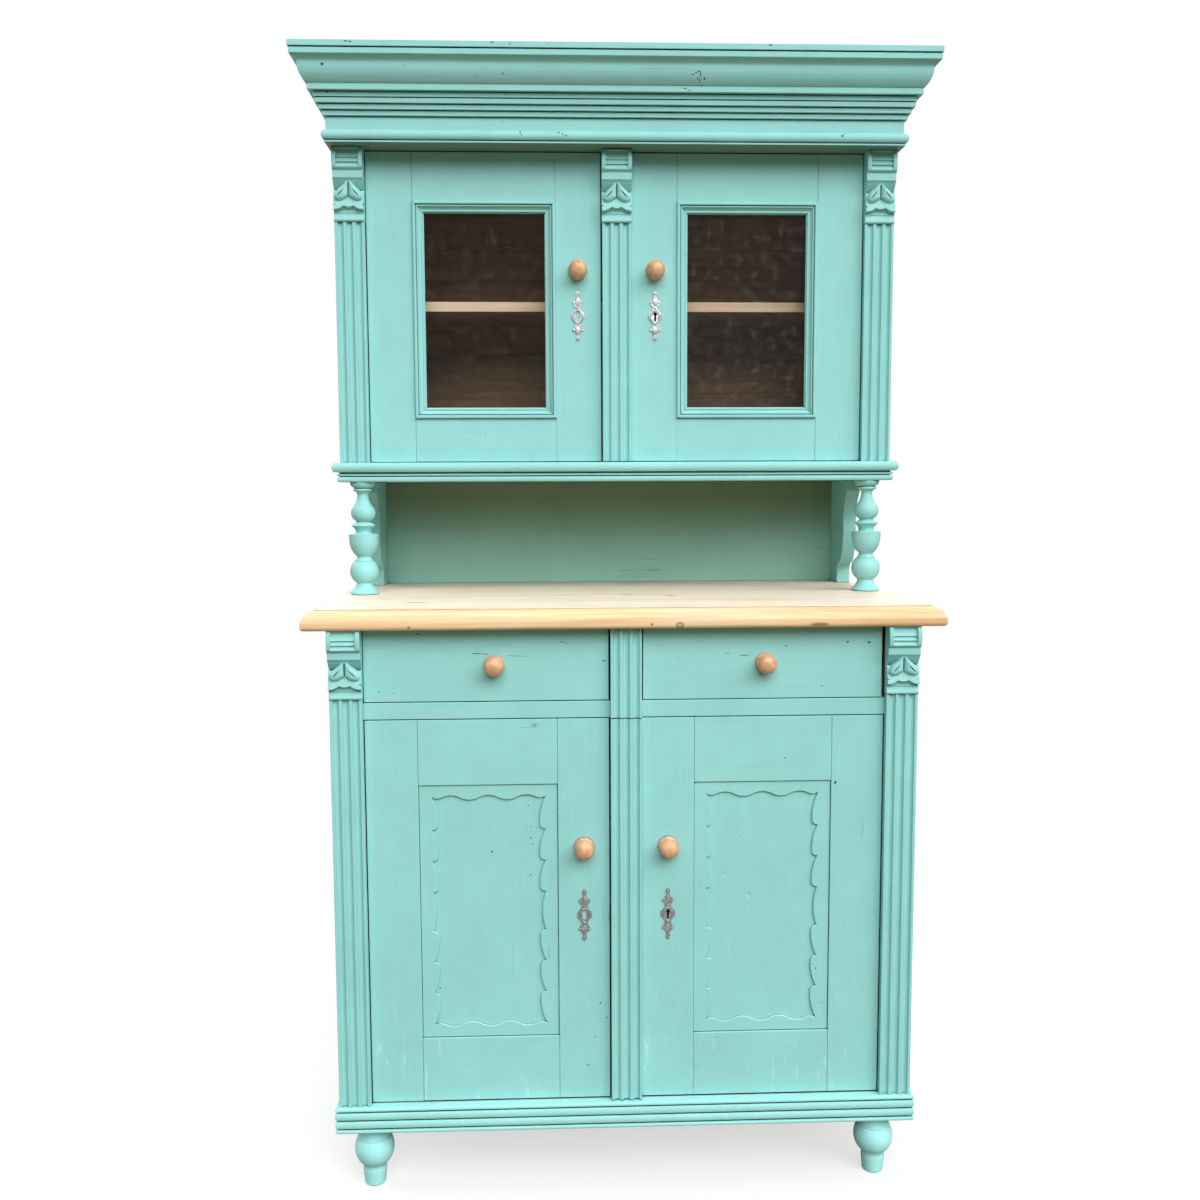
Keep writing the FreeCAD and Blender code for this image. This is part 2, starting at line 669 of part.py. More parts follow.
def rim_lock(name, inside, keyhole_x, keyhole_z):
    """A rim lock on the right door's back, with its bolt withdrawn."""
    left = -strip_half + 1
    play = D["bolt_play"]
    y = (inside, inside + D["lock_deep"])
    case = board(f"{name}_case_blank", (left, keyhole_x + D["lock_aside"]), y,
                 (keyhole_z - 32, keyhole_z + 36))
    bolt_x = (left, left + D["bolt_long"])
    bolt_y = (inside + 2, inside + 10)
    bolt_z = (keyhole_z + 12, keyhole_z + 28)
    slot = board(f"{name}_bolt_slot", (left - 1, bolt_x[1] + play), (bolt_y[0] - play, bolt_y[1] + play),
                 (bolt_z[0] - play, bolt_z[1] + play))
    case = cut(f"{name}_case", case, slot, *keyhole(f"{name}_case_key", keyhole_x, inside - 1, keyhole_z, 9))
    bolt = board(f"{name}_bolt", bolt_x, bolt_y, bolt_z)
    return case, bolt


def strike_plate(name, sign, inside, top):
    """The thin plate on a door's back that its magnetic catch holds."""
    x = on_side(sign, D["catch_near"], D["catch_far"])
    return board(f"{name}_strike", x, (inside, inside + D["strike_thick"]), (top - 13, top - 3))


def scalloped_border(name, middle, face):
    """Four mitred strips round a lower panel, wavy inside at top and bottom, hooked at the sides."""
    half_wide = (D["panel_far"] - D["panel_near"]) / 2
    half_high = (D["panel_top"] - D["panel_bottom"]) / 2
    centre = (D["panel_top"] + D["panel_bottom"]) / 2
    corner = 21.5
    inner = half_wide - corner
    level = half_high - corner

    # The wave turns at these shares of the half width, level with these drops
    right_wave = [(inner, level, -0.3), (inner * 0.81, level, 0.2), (inner * 0.53, level + 0.3, -0.25),
                  (inner * 0.19, level - 2.2, 0.28)]
    left_wave = walked_back(flipped(right_wave, across=True))
    wave = right_wave + left_wave
    top = [*wave, (-half_wide, half_high), (half_wide, half_high)]

    # Each hook is a long shallow curve and a short round nose, mirrored below the middle
    pitch, first, nose_high, hook = 54, half_high - 70, 7.5, 9.5
    upper = [(inner, level, 0.14)]
    for step in range(3):
        nose = first - pitch * step
        upper.append((inner - hook, nose, 0.45))
        upper.append((inner, nose - nose_high, 0.14))
    upper[-1] = (*upper[-1][:2], 0.1)
    lower = walked_back(flipped(upper, upside_down=True))
    right_side = [*upper, (inner - hook * 0.6, 0, 0.1), *lower]
    right_side += [(half_wide, -half_high), (half_wide, half_high)]
    outlines = {"top": top, "bottom": flipped(top, upside_down=True), "right": right_side,
                "left": flipped(right_side, across=True)}
    return [extruded(f"{name}_border_{side}", "XZ_Plane", outline, D["fret_thick"], middle, face, centre)
            for side, outline in outlines.items()]


def lower_door(name, sign):
    """One lower door: frame, panel with scalloped border, knob, escutcheon and irons."""
    low, high = plinth_top + D["door_clear"], D["rail_bottom"] - D["door_clear"]
    edge = base_post - D["hinge_gap"]
    free = -strip_half if sign > 0 else strip_half + D["meeting_gap"]
    y = (base_face, base_inside)
    stiles = {"outer": on_side(sign, D["panel_far"], edge), "inner": on_side(sign, free, D["panel_near"])}
    rails = {"top": (D["panel_top"], high), "bottom": (low, D["panel_bottom"])}
    inside = on_side(sign, D["panel_near"], D["panel_far"])
    tongue = D["panel_tongue"]
    panel_face = base_face + D["panel_setback"]
    panel_y = (panel_face, panel_face + D["panel_thick"])
    panel = board(f"{name}_panel_board", (inside[0] - tongue, inside[1] + tongue), panel_y,
                  (D["panel_bottom"] - tongue, D["panel_top"] + tongue))
    border = scalloped_border(name, (inside[0] + inside[1]) / 2, panel_face)
    pins = pivot_pins(name, (edge - D["pivot_inset"]) * sign, base_face + D["pivot_depth"], low, high)
    pull = knob(f"{name}_knob", D["knob_aside"] * sign, base_face, D["lower_knob_high"])
    key_x = D["knob_aside"] * sign
    plate = escutcheon(f"{name}_escutcheon", key_x, base_face, D["lower_keyhole_high"])
    irons = [*pins, strike_plate(name, sign, base_inside, high)]
    bores = []
    if sign > 0:
        case, bolt = rim_lock(name, base_inside, key_x, D["lower_keyhole_high"])
        irons.append(case)
        bores = keyhole(f"{name}_bore", key_x, base_face - 1, D["lower_keyhole_high"], D["door_thick"] + 2)
        node(f"{name}_lock_bolt", bolt)
        node(f"{name}_strip", fluted_strip(f"{name}_strip", 0, base_front, low, high))
    frame = door_frame(name, stiles, rails, inside, y,
                       {"outer": [panel, *pins], "inner": [panel, pull, *bores], "rails": [panel]})
    node(f"{name}_frame", *frame)
    node(f"{name}_panel", panel, *border)
    node(f"{name}_knob", pull)
    node(f"{name}_escutcheon", plate)
    node(f"{name}_irons", *irons)


def glazing(name, inside):
    """Mitred moulding in front of the glass, and beads behind it."""
    low, high = D["pane_bottom"], D["pane_top"]
    left, right = inside
    wide = D["glazing_wide"]
    glass_front = D["glass_setback"]
    section = [(0, glass_front), (0, -4), (0.8, -5, 0.2), (5.6, -5.2), (5.8, -1.4), (7.2, -1.4), (7.2, -2.8),
               (9.4, -2.8), (9.4, -1.8, -0.3), (15.2, 3.6), (15.2, 2.4), (18.2, 2.4), (18.4, 6), (wide, 6),
               (wide, glass_front)]
    over = wide + 1
    width, height = right - left, high - low
    plans = {
        "top": ([(0, 0), (width, 0), (width - over, -over), (over, -over)], high),
        "bottom": ([(0, 0), (width, 0), (width - over, over), (over, over)], low),
        "left": ([(0, 0), (over, over), (over, height - over), (0, height)], low),
        "right": ([(width, 0), (width, height), (width - over, height - over), (width - over, over)], low),
    }
    made = []
    for side, (plan, base) in plans.items():
        if side in ("top", "bottom"):
            turned_section = [(v, u, *[-turn for turn in bulge]) for u, v, *bulge in section]
            run = extruded(f"{name}_glazing_run_{side}", "YZ_Plane",
                           flipped(turned_section, upside_down=True) if side == "top" else turned_section,
                           width, left, hutch_face, base)
        else:
            run = extruded(f"{name}_glazing_run_{side}", "XY_Plane",
                           section if side == "left" else flipped(section, across=True),
                           height, left if side == "left" else right, hutch_face, low)
        block = extruded(f"{name}_glazing_plan_{side}", "XZ_Plane", plan, glass_front * 2, left,
                         hutch_face + glass_front, base)
        made.append(common(f"{name}_glazing_{side}", run, block))
    glass_y = (hutch_face + glass_front, hutch_face + glass_front + D["glass_thick"])
    bead_y = (glass_y[1], hutch_inside)
    bead = D["bead_wide"]
    made += [
        board(f"{name}_bead_top", (left, right), bead_y, (high - bead, high)),
        board(f"{name}_bead_bottom", (left, right), bead_y, (low, low + bead)),
        board(f"{name}_bead_left", (left, left + bead), bead_y, (low + bead, high - bead)),
        board(f"{name}_bead_right", (right - bead, right), bead_y, (low + bead, high - bead)),
    ]
    pane = board(f"{name}_pane", (left + 1, right - 1), glass_y, (low + 1, high - 1))
    return made, pane


def upper_door(name, sign):
    """One glazed door: frame, glazing, glass, knob, escutcheon and irons."""
    low, high = hutch_floor_top + D["door_clear"], D["hutch_roof_bottom"] - D["door_clear"]
    edge = hutch_post - D["hinge_gap"]
    free = -strip_half if sign > 0 else strip_half + D["meeting_gap"]
    y = (hutch_face, hutch_inside)
    stiles = {"outer": on_side(sign, D["pane_far"], edge), "inner": on_side(sign, free, D["pane_near"])}
    rails = {"top": (D["pane_top"], high), "bottom": (low, D["pane_bottom"])}
    inside = on_side(sign, D["pane_near"], D["pane_far"])
    mouldings, pane = glazing(name, inside)
    pins = pivot_pins(name, (edge - D["pivot_inset"]) * sign, hutch_face + D["pivot_depth"], low, high)
    key_x = D["knob_aside"] * sign
    pull = knob(f"{name}_knob", key_x, hutch_face, D["upper_knob_high"])
    plate = escutcheon(f"{name}_escutcheon", key_x, hutch_face, D["upper_keyhole_high"])
    irons = [*pins, strike_plate(name, sign, hutch_inside, high)]
    bores = []
    if sign > 0:
        case, bolt = rim_lock(name, hutch_inside, key_x, D["upper_keyhole_high"])
        irons.append(case)
        bores = keyhole(f"{name}_bore", key_x, hutch_face - 1, D["upper_keyhole_high"], D["door_thick"] + 2)
        node(f"{name}_lock_bolt", bolt)
        corbel_high = D["hutch_corbel_high"] - D["door_clear"]
        node(f"{name}_strip",
             fluted_strip(f"{name}_flutes", 0, hutch_front, low, high - corbel_high),
             corbel(f"{name}_corbel", 0, hutch_face, high, corbel_high))
    frame = door_frame(name, stiles, rails, inside, y, {"outer": pins, "inner": [pull, *bores], "rails": []})
    node(f"{name}_frame", *frame)
    node(f"{name}_glazing", *mouldings)
    node(f"{name}_glass", pane)
    node(f"{name}_knob", pull)
    node(f"{name}_escutcheon", plate)
    node(f"{name}_irons", *irons)


def worktop():
    """The pine worktop, with a thumb-moulded edge below a small quirk."""
    thick, out = D["worktop_thick"], D["worktop_front_reach"]
    edge = [(out - 4, 0, 0.35), (out, 7), (out, 12, 0.3), (out - 21.4, thick - 1.2), (out - 22, thick)]
    side_line = D["base_half"] + D["worktop_side_reach"] - out
    node("worktop", edged_board("worktop", edge, side_line, base_front, D["back_line"], worktop_bottom))


def niche():
    """Back board, shaped brackets and turned columns between worktop and top cupboard."""
    bottom, top = D["worktop_top"], D["hutch_floor_bottom"]
    node("niche_back", board("niche_back", both_ways(hutch_side), (back_inside, back_outside),
                             (bottom, D["board_joint_low"] - D["plate_gap"])))
    high = top - bottom
    deep = D["bracket_deep"]
    section = [
        (0, 0), (0, high), (-deep, high), (-deep, high - 20, -0.22), (deep * -0.78, high - 85, 0.24),
        (deep * -0.62, high - 165), (deep * -0.56, high - 165, -0.4), (deep * -0.44, high - 186),
        (deep * -0.44, 0),
    ]
    bracket = extruded("bracket", "YZ_Plane", section, hutch_side - D["bracket_inside"], D["bracket_inside"],
                       back_inside, bottom)
    node("side_brackets", *pair(bracket))
    column_section = [
        (0, 0), (25, 0), (26, 1.5), (26, 4.5, -0.2), (14.5, 21.5, 0.49), (18.7, 61), (17, 61.4), (17, 62.6),
        (17.6, 63, -0.2), (12.8, 69.5), (12.8, 70.5, 0.2), (26.5, 98), (27, 112), (14.8, 113),
        (14.3, 118, -0.15), (21.5, 127.2), (21.8, 128.2), (19.5, 130.2, -0.1), (12.4, 134.4),
        (12.4, 135.4, 0.46), (19.4, 161, -0.18), (10.2, 184), (10.2, 187), (13, 190), (16.5, 191.5, 0.5),
        (16.5, 195.8), (14.6, 196.4), (19.7, 199.4, 0.12), (22.8, 205.5), (22.8, high), (0, high),
    ]
    columns = [turned(f"column_{side}", column_section, D["column_aside"] * sign,
                      hutch_front + D["column_inset"], bottom) for side, sign in (("left", -1), ("right", 1))]
    node("turned_columns", *columns)


def top_cupboard():
    """The glazed cupboard's carcass and its cornice, without the doors."""
    waist = D["waist_reach"]
    floor_edge = [(waist - 11, 0), (waist - 10.2, 0.4, 0.35), (waist - 10.2, 9.4), (waist - 12.5, 9.6),
                  (waist - 12.5, 11), (waist - 8.6, 11.2), (waist - 8.6, 14.8), (waist - 12.5, 15),
                  (waist - 12.5, 17.8), (waist - 4, 18, 0.5), (waist - 5, D["hutch_floor_thick"])]
    floor = edged_board("hutch_floor_blank", floor_edge, D["hutch_half"], hutch_front, back_inside,
                        D["hutch_floor_bottom"])
    node("hutch_floor", cut("hutch_floor", floor, *bush_seats["hutch_floor"]))
    round_edge = D["astragal_reach"]
    roof_edge = [(round_edge - 7, 0), (round_edge - 5.5, 0.4), (round_edge - 5.5, 3.6), (round_edge - 8, 3.8),
                 (round_edge - 8, 5), (round_edge - 3.5, 5.2, 0.5), (round_edge - 5.5, 20.8),
                 (round_edge - 7, D["hutch_roof_thick"])]
    roof = edged_board("hutch_roof_blank", roof_edge, D["hutch_half"], cornice_front, back_inside,
                       D["hutch_roof_bottom"])
    node("hutch_roof", cut("hutch_roof", roof, *bush_seats["hutch_roof"]))

    standing = (hutch_floor_top, D["hutch_roof_bottom"])
    side = board("hutch_side", (hutch_side, D["hutch_half"]), (hutch_inside, back_inside), standing)
    post = board("hutch_post", (hutch_post, D["hutch_half"]), (hutch_face, hutch_inside), standing)
    node("hutch_sides", *pair(side), *pair(post))

    rear = (back_inside, back_outside)
    inner_half = D["hutch_half"] - D["cornice_inset"]
    boards = []
    low = D["board_joint_low"]
    for step in range(2):
        boards.append(board(f"hutch_back_{step}", both_ways(D["hutch_half"]), rear,
                            (low, low + D["board_wide"] - D["plate_gap"])))
        low = low + D["board_wide"]
    boards.append(board("hutch_back_2", both_ways(D["hutch_half"]), rear,
                        (low, hutch_roof_top - D["plate_gap"])))
    dust_low = D["cornice_top"] - D["back_thick"]
    boards.append(board("hutch_back_3", both_ways(inner_half), rear, (hutch_roof_top, dust_low)))
    node("hutch_back_boards", *boards)
    node("cornice_dust_board", board("dust_board", both_ways(inner_half),
                                     (cornice_front + D["cornice_inset"], back_outside),
                                     (dust_low, D["cornice_top"])))

    shelf_bottom = D["hutch_shelf_top"] - D["shelf_thick"]
    shelf_front = hutch_front + D["hutch_shelf_setback"]
    shelf = board("hutch_shelf_board", both_ways(hutch_side), (shelf_front, back_inside),
                  (shelf_bottom, D["hutch_shelf_top"]))
    batten = board("hutch_batten", (hutch_side - D["batten_thick"], hutch_side),
                   (shelf_front + D["batten_setback"], back_inside - D["batten_setback"]),
                   (shelf_bottom - D["batten_thick"], shelf_bottom))
    node("hutch_shelf", shelf, *pair(batten))

    corbel_bottom = D["hutch_roof_bottom"] - D["hutch_corbel_high"]
    middle = D["hutch_half"] - pilaster_half
    pilaster = fluted_strip("hutch_pilaster", middle, hutch_front, hutch_floor_top, corbel_bottom,
                            pilaster_half)
    node("hutch_pilasters", *pair(pilaster))
    node("hutch_corbels", *pair(corbel("hutch_corbel", middle, hutch_face, D["hutch_roof_bottom"],
                                       D["hutch_corbel_high"])))
    cornice()


def cornice():
    """Frieze with reeds above it, then the crown moulding, each in three mitred lengths."""
    inset = D["cornice_inset"]
    frieze_high = D["crown_bottom"] - hutch_roof_top
    flat = 5
    reed_low = 23.5
    reed_reaches = (10.3, 15.6, 20.9, 22.9)
    rise = (frieze_high - reed_low) / len(reed_reaches)
    quirk_high, quirk_deep = 1.6, 4
    section = [(-inset, 0), (flat, 0), (flat, reed_low - quirk_high), (flat - 2, reed_low - quirk_high),
               (flat - 2, reed_low)]
    for count, reach in enumerate(reed_reaches):
        level = reed_low + rise * count
        section.append((reach - 0.5, level))
        section.append((reach, level + rise - quirk_high))
        section.append((reach - quirk_deep, level + rise - quirk_high))
        section.append((reach - quirk_deep, level + rise))
    section.append((-inset, frieze_high))
    node("cornice_frieze", *mitred_lengths("cornice_frieze", section, D["hutch_half"], cornice_front,
                                           back_outside, D["cornice_reach"], inset, hutch_roof_top,
                                           D["crown_bottom"]))
    out = D["cornice_reach"]
    crown_high = D["cornice_top"] - D["crown_bottom"]
    section = [
        (-inset, 0), (out - 27, 0), (out - 27, 10.5), (out - 25.5, 10.7, 0.22), (out - 13, 42.5, -0.2),
        (out - 3, 51), (out - 2, 52), (out - 2, crown_high - 12), (out - 6, crown_high - 11.8),
        (out - 6, crown_high - 10), (out, crown_high - 9.8), (out, crown_high), (-inset, crown_high),
    ]
    node("cornice_crown", *mitred_lengths("cornice_crown", section, D["hutch_half"], cornice_front,
                                          back_outside, out, inset, D["crown_bottom"], D["cornice_top"]))


def carcass_irons():
    """Pivot bushes let into the boards, and magnetic catches behind the doors."""
    bushes = []
    for place_name, seats in bush_seats.items():
        bores = pivot_plugs(place_name, "bore", D["pin_radius"] + D["pin_play"])
        bushes += [cut(f"{place_name}_bush", seat, bore) for seat, bore in zip(seats, bores)]
    node("pivot_bushes", *bushes)
    blocks = []
    for name, inside, top in (("lower", base_inside, D["rail_bottom"]),
                              ("upper", hutch_inside, D["hutch_roof_bottom"])):
        front = inside + D["strike_thick"] + 0.5
        block = board(f"{name}_catch", (D["catch_near"], D["catch_far"]), (front, front + D["catch_deep"]),
                      (top - D["catch_high"], top))
        blocks += pair(block)
    node("magnetic_catches", *blocks)


bush_seats = {place_name: pivot_plugs(place_name, "seat", D["bush_radius"]) for place_name in pivots}
base_cabinet()
drawer_bay()
drawer_edge = base_post - D["drawer_gap"]
drawer_near = strip_half + D["drawer_gap"]
drawer("drawer_left", -drawer_edge, -drawer_near, -D["left_knob_aside"])
drawer("drawer_right", drawer_near, base_post - D["planed_gap"], D["right_knob_aside"])
for side, sign in (("left", -1), ("right", 1)):
    lower_door(f"lower_door_{side}", sign)
    upper_door(f"upper_door_{side}", sign)
worktop()
niche()
top_cupboard()
carcass_irons()

doc.recompute()
failed = [thing.Label for thing in doc.Objects if {"Invalid", "Error"} & set(thing.State)]
if failed:
    raise SystemExit("failed objects: " + ", ".join(failed))
for piece in nodes:
    if piece.Shape.isNull() or not piece.Shape.isValid() or not piece.Shape.Solids:
        raise SystemExit("bad shape: " + piece.Label)
os.makedirs("parts", exist_ok=True)
for piece in nodes:
    piece.Shape.exportStep(f"parts/{piece.Label}.step")
print(len(nodes), "sub-parts written")
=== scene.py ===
import contextlib
import json
import math

import bmesh
import bpy
from mathutils import Matrix, Vector

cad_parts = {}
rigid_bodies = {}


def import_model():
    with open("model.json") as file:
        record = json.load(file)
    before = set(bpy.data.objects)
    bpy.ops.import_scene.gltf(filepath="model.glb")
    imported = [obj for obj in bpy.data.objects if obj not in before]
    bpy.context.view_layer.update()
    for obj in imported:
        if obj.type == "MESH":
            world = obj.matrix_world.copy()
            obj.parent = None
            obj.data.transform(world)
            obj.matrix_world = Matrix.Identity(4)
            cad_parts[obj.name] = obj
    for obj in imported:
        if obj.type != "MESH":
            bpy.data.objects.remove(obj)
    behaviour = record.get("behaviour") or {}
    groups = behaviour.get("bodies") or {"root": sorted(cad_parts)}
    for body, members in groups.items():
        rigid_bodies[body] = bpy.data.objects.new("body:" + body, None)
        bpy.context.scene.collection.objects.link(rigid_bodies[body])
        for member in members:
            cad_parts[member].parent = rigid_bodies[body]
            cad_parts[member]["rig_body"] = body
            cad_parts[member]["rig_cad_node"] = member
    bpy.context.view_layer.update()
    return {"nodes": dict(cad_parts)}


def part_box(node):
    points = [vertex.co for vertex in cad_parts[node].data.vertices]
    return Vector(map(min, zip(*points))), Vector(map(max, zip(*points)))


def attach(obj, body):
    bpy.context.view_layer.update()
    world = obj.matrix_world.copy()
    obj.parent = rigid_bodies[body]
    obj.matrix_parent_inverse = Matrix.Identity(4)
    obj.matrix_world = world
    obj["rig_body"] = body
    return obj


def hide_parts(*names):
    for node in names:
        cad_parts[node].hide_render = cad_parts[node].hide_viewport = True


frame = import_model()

# A painted pine dresser: the frame gives its boards, and this script eases their edges,
# carves the corbels, turns the knobs, presses the escutcheons and finishes every surface.
# Metres throughout, +Z up, front towards -Y.

MM = 0.001

# Planes and sizes of the frame that added pieces and finishes go by, with the crease round the worktop
BASE_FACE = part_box("lower_door_left_frame")[0].y
HUTCH_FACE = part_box("upper_door_left_frame")[0].y
WORKTOP_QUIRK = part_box("worktop")[1].z - 1.4 * MM
SIDE_THICK = 20 * MM
PANEL_TONGUE = 8 * MM
CORBEL_WIDE = 54 * MM

# Slack for picking faces on a plane by their middles, and round the lower edge of a moulding
NEAR = 0.5 * MM
NEAR_SOFFIT = 0.8 * MM

# An edge sharper than this many degrees is eased, and shading runs smoothly across a flatter one
SHARP_EDGE = 38

# How far edges are rounded off, in millimetres
BOARD_EASE = 1.3
PANEL_EASE = 1.8
PLANK_EASE = 1.0
FLUTE_EASE = 0.9
WORKTOP_EASE = 0.7
FOOT_EASE = 0.5
MOULDING_EASE = 0.45
COLUMN_EASE = 0.4

# The camera's place in metres, its turn to the right, up and round in radians, its lens in millimetres
CAMERA_PLACE = (-0.1194, -2.2195, 1.2055)
CAMERA_YAW = 0.0388
CAMERA_PITCH = -0.094
CAMERA_ROLL = -0.0041
CAMERA_LENS = 36
CAMERA_SENSOR = 36


# Selecting and editing


def only(piece):
    """Leave one piece selected and active."""
    bpy.ops.object.select_all(action="DESELECT")
    piece.select_set(True)
    bpy.context.view_layer.objects.active = piece
    return piece


@contextlib.contextmanager
def editing(piece):
    """Work on one piece in edit mode, with all of it selected."""
    only(piece)
    bpy.ops.object.mode_set(mode="EDIT")
    bpy.ops.mesh.select_mode(type="VERT")
    bpy.ops.mesh.select_all(action="SELECT")
    yield
    bpy.ops.object.mode_set(mode="OBJECT")


def select_faces(piece, wanted):
    """In edit mode, select the faces whose middle and normal are wanted."""
    bpy.ops.mesh.select_mode(type="FACE")
    bpy.ops.mesh.select_all(action="DESELECT")
    mesh = bmesh.from_edit_mesh(piece.data)
    for face in mesh.faces:
        face.select_set(bool(wanted(face.calc_center_median(), face.normal)))
    bmesh.update_edit_mesh(piece.data)


def apply_modifier(piece, kind, **settings):
    """Add a modifier to a piece and apply it."""
    only(piece)
    modifier = piece.modifiers.new(kind, kind)
    for name, value in settings.items():
        setattr(modifier, name, value)
    bpy.ops.object.modifier_apply(modifier=modifier.name)


def settle(piece):
    """Put a piece's place, turn and scale into its mesh."""
    only(piece)
    bpy.ops.object.transform_apply(location=True, rotation=True, scale=True)


def smooth(piece, degrees):
    """Shade smoothly across edges flatter than some degrees."""
    only(piece)
    bpy.ops.object.shade_smooth_by_angle(angle=math.radians(degrees))


def join(piece, *others):
    """Make several pieces one mesh."""
    only(piece)
    for other in others:
        other.select_set(True)
    bpy.ops.object.join()
    return piece


def another(piece, name):
    """A copy of a piece with its own mesh."""
    only(piece)
    bpy.ops.object.duplicate()
    twin = bpy.context.object
    twin.name = name
    return twin


def remove(piece):
    """Delete a piece that has been copied or cut with."""
    only(piece)
    bpy.ops.object.delete()


def cut(piece, cutter):
    """Take a cutter's shape out of a piece."""
    apply_modifier(piece, "BOOLEAN", operation="DIFFERENCE", object=cutter, solver="EXACT")
    remove(cutter)


def stands_for(piece, node):
    """Show a piece in place of a frame node, on that node's body."""
    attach(piece, frame["nodes"][node]["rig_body"])
    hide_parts(node)
    return piece


# Finishes


class Shade:
    """A node socket that takes part in sums, so that a finish is written as expressions."""

    def __init__(self, tree, socket=None):
        self.tree = tree
        self.socket = socket

    def node(self, kind, settings=None, sockets=None, out=0):
        """Add a node, its settings first, then the values or links of its sockets."""
        made = self.tree.nodes.new("ShaderNode" + kind)
        for name, value in (settings or {}).items():
            setattr(made, name, value)
        for name, value in (sockets or {}).items():
            if isinstance(value, Shade):
                self.tree.links.new(value.socket, made.inputs[name])
            else:
                made.inputs[name].default_value = value
        return Shade(self.tree, made.outputs[out] if made.outputs else None)

    def other(self, out):
        """Another output of the same node."""
        return Shade(self.tree, self.socket.node.outputs[out])

    def sum_of(self, operation, first, second):
        """Two values joined by an operation."""
        return self.node("Math", {"operation": operation}, {0: first, 1: second})

    def __add__(self, other):
        return self.sum_of("ADD", self, other)

    def __sub__(self, other):
        return self.sum_of("SUBTRACT", self, other)

    def __rsub__(self, other):
        return self.sum_of("SUBTRACT", other, self)

    def __mul__(self, other):
        return self.sum_of("MULTIPLY", self, other)

    def __lt__(self, other):
        return self.sum_of("LESS_THAN", self, other)

    def __or__(self, other):
        return self.sum_of("MAXIMUM", self, other)

    def __abs__(self):
        return self.sum_of("ABSOLUTE", self, 0)

    __radd__ = __add__
    __rmul__ = __mul__

    def ramp(self, low, high, start=0.0, end=1.0):
        """Go smoothly from start to end while the value goes from low to high."""
        return self.node("MapRange", {"interpolation_type": "SMOOTHSTEP"},
                         {"Value": self, "From Min": low, "From Max": high, "To Min": start, "To Max": end})

    def tint(self, first, second):
        """The first colour at 0, the second at 1."""
        return self.node("Mix", {"data_type": "RGBA"}, {0: self, 6: first, 7: second}, out=2)

    def noise(self, scale, detail=2.0, roughness=0.5, distortion=0.0):
        """A cloudy pattern with so many waves to the metre."""
        return self.node("TexNoise", {}, {"Vector": self, "Scale": scale, "Detail": detail,
                                          "Roughness": roughness, "Distortion": distortion})

    def stretched(self, scale):
        """Coordinates scaled along each axis, which draws a pattern out along the small ones."""
        return self.node("Mapping", {}, {"Vector": self, "Scale": scale})

    def spot(self, centre, radii):
        """Distance from a place, 1 on the skin of an ellipsoid round it."""
        nearby = self.node("Mapping", {"vector_type": "TEXTURE"},
                           {"Vector": self, "Location": centre, "Scale": radii})
        return self.node("VectorMath", {"operation": "LENGTH"}, {0: nearby}, out="Value")

    def specks(self, scale, radius, share):
        """Round specks of a radius in metres, in a share of the cells of a jumble."""
        cell = self.node("TexVoronoi", {}, {"Vector": self, "Scale": scale})
        chance = self.node("SeparateColor", {}, {"Color": cell.other("Color")})
        return cell.ramp(radius * scale, radius * scale * 0.4) * (chance < share)

    def axis(self, out):
        """One of the coordinates."""
        return self.node("SeparateXYZ", {}, {0: self}, out=out)

    def crevice(self, distance, samples=8):
        """Near 1 in corners and gaps, 0 on open faces."""
        open_sky = self.node("AmbientOcclusion", {"samples": samples}, {"Distance": distance}, out="AO")
        return 1 - open_sky

    def seen_rays(self):
        """1 for what the camera sees straight, mirrored or through glass, 0 for light on its way."""
        rays = self.node("LightPath", out="Is Camera Ray")
        return rays | rays.other("Is Glossy Ray") | rays.other("Is Transmission Ray")


def colour(red, green, blue):
    return (red, green, blue, 1.0)


def new_finish(name):
    """An empty material and the Object coordinates that its pattern starts from."""
    material = bpy.data.materials.new(name)
    material.use_nodes = True
    material.node_tree.nodes.clear()
    return material, Shade(material.node_tree).node("TexCoord", out="Object")


def coat(shade, base, roughness, height=None, **fixed):
    """Join a colour, a roughness and a relief in millimetres to the surface."""
    sockets = {"Base Color": base, "Roughness": roughness}
    sockets.update({name.replace("_", " "): value for name, value in fixed.items()})
    if height is not None:
        sockets["Normal"] = shade.node("Bump", {}, {"Height": height, "Distance": MM, "Strength": 1.0})
    surface = shade.node("BsdfPrincipled", {}, sockets)
    shade.node("OutputMaterial", {}, {"Surface": surface})


# Scales that draw grain and brush lines out along one axis
LENGTHWISE = {"x": (0.035, 1, 1), "y": (1, 0.035, 1), "z": (1, 1, 0.035)}

GREEN = (0.296, 0.648, 0.632)
SCUFFED_GREEN = colour(0.47, 0.79, 0.765)
# Paler paint for the feet and the plinth moulding: painted light, for the brighter light that falls low down
FOOT_GREEN = (0.385, 0.83, 0.83)
PLINTH_GREEN = (0.33, 0.72, 0.70)
# Painted shade for the niche under the hutch: a darker, more olive paint, darker still towards its top
NICHE_SHADE_GREEN = (0.318, 0.600, 0.520)
NICHE_TOP_SHADE_GREEN = (0.190, 0.274, 0.168)
# Darker olive paint for the undersides of the hutch floor and roof: painted shade
SOFFIT_SHADE_GREEN = (0.165, 0.262, 0.185)
CORNER_SHADE_AND_CRACK_GREEN = colour(0.030, 0.052, 0.040)
SHADED_GAP_AND_HOLE_BLACK = colour(0.006, 0.009, 0.008)

# Levels, in metres, between which the paint changes
DARKER_LOW = (0.85, 0.45)
NOT_ON_PLINTH = (0.155, 0.16)
SCUFFED = (0.50, 0.17)
NICHE_SHADE_LEVELS = (1.085, 1.190)

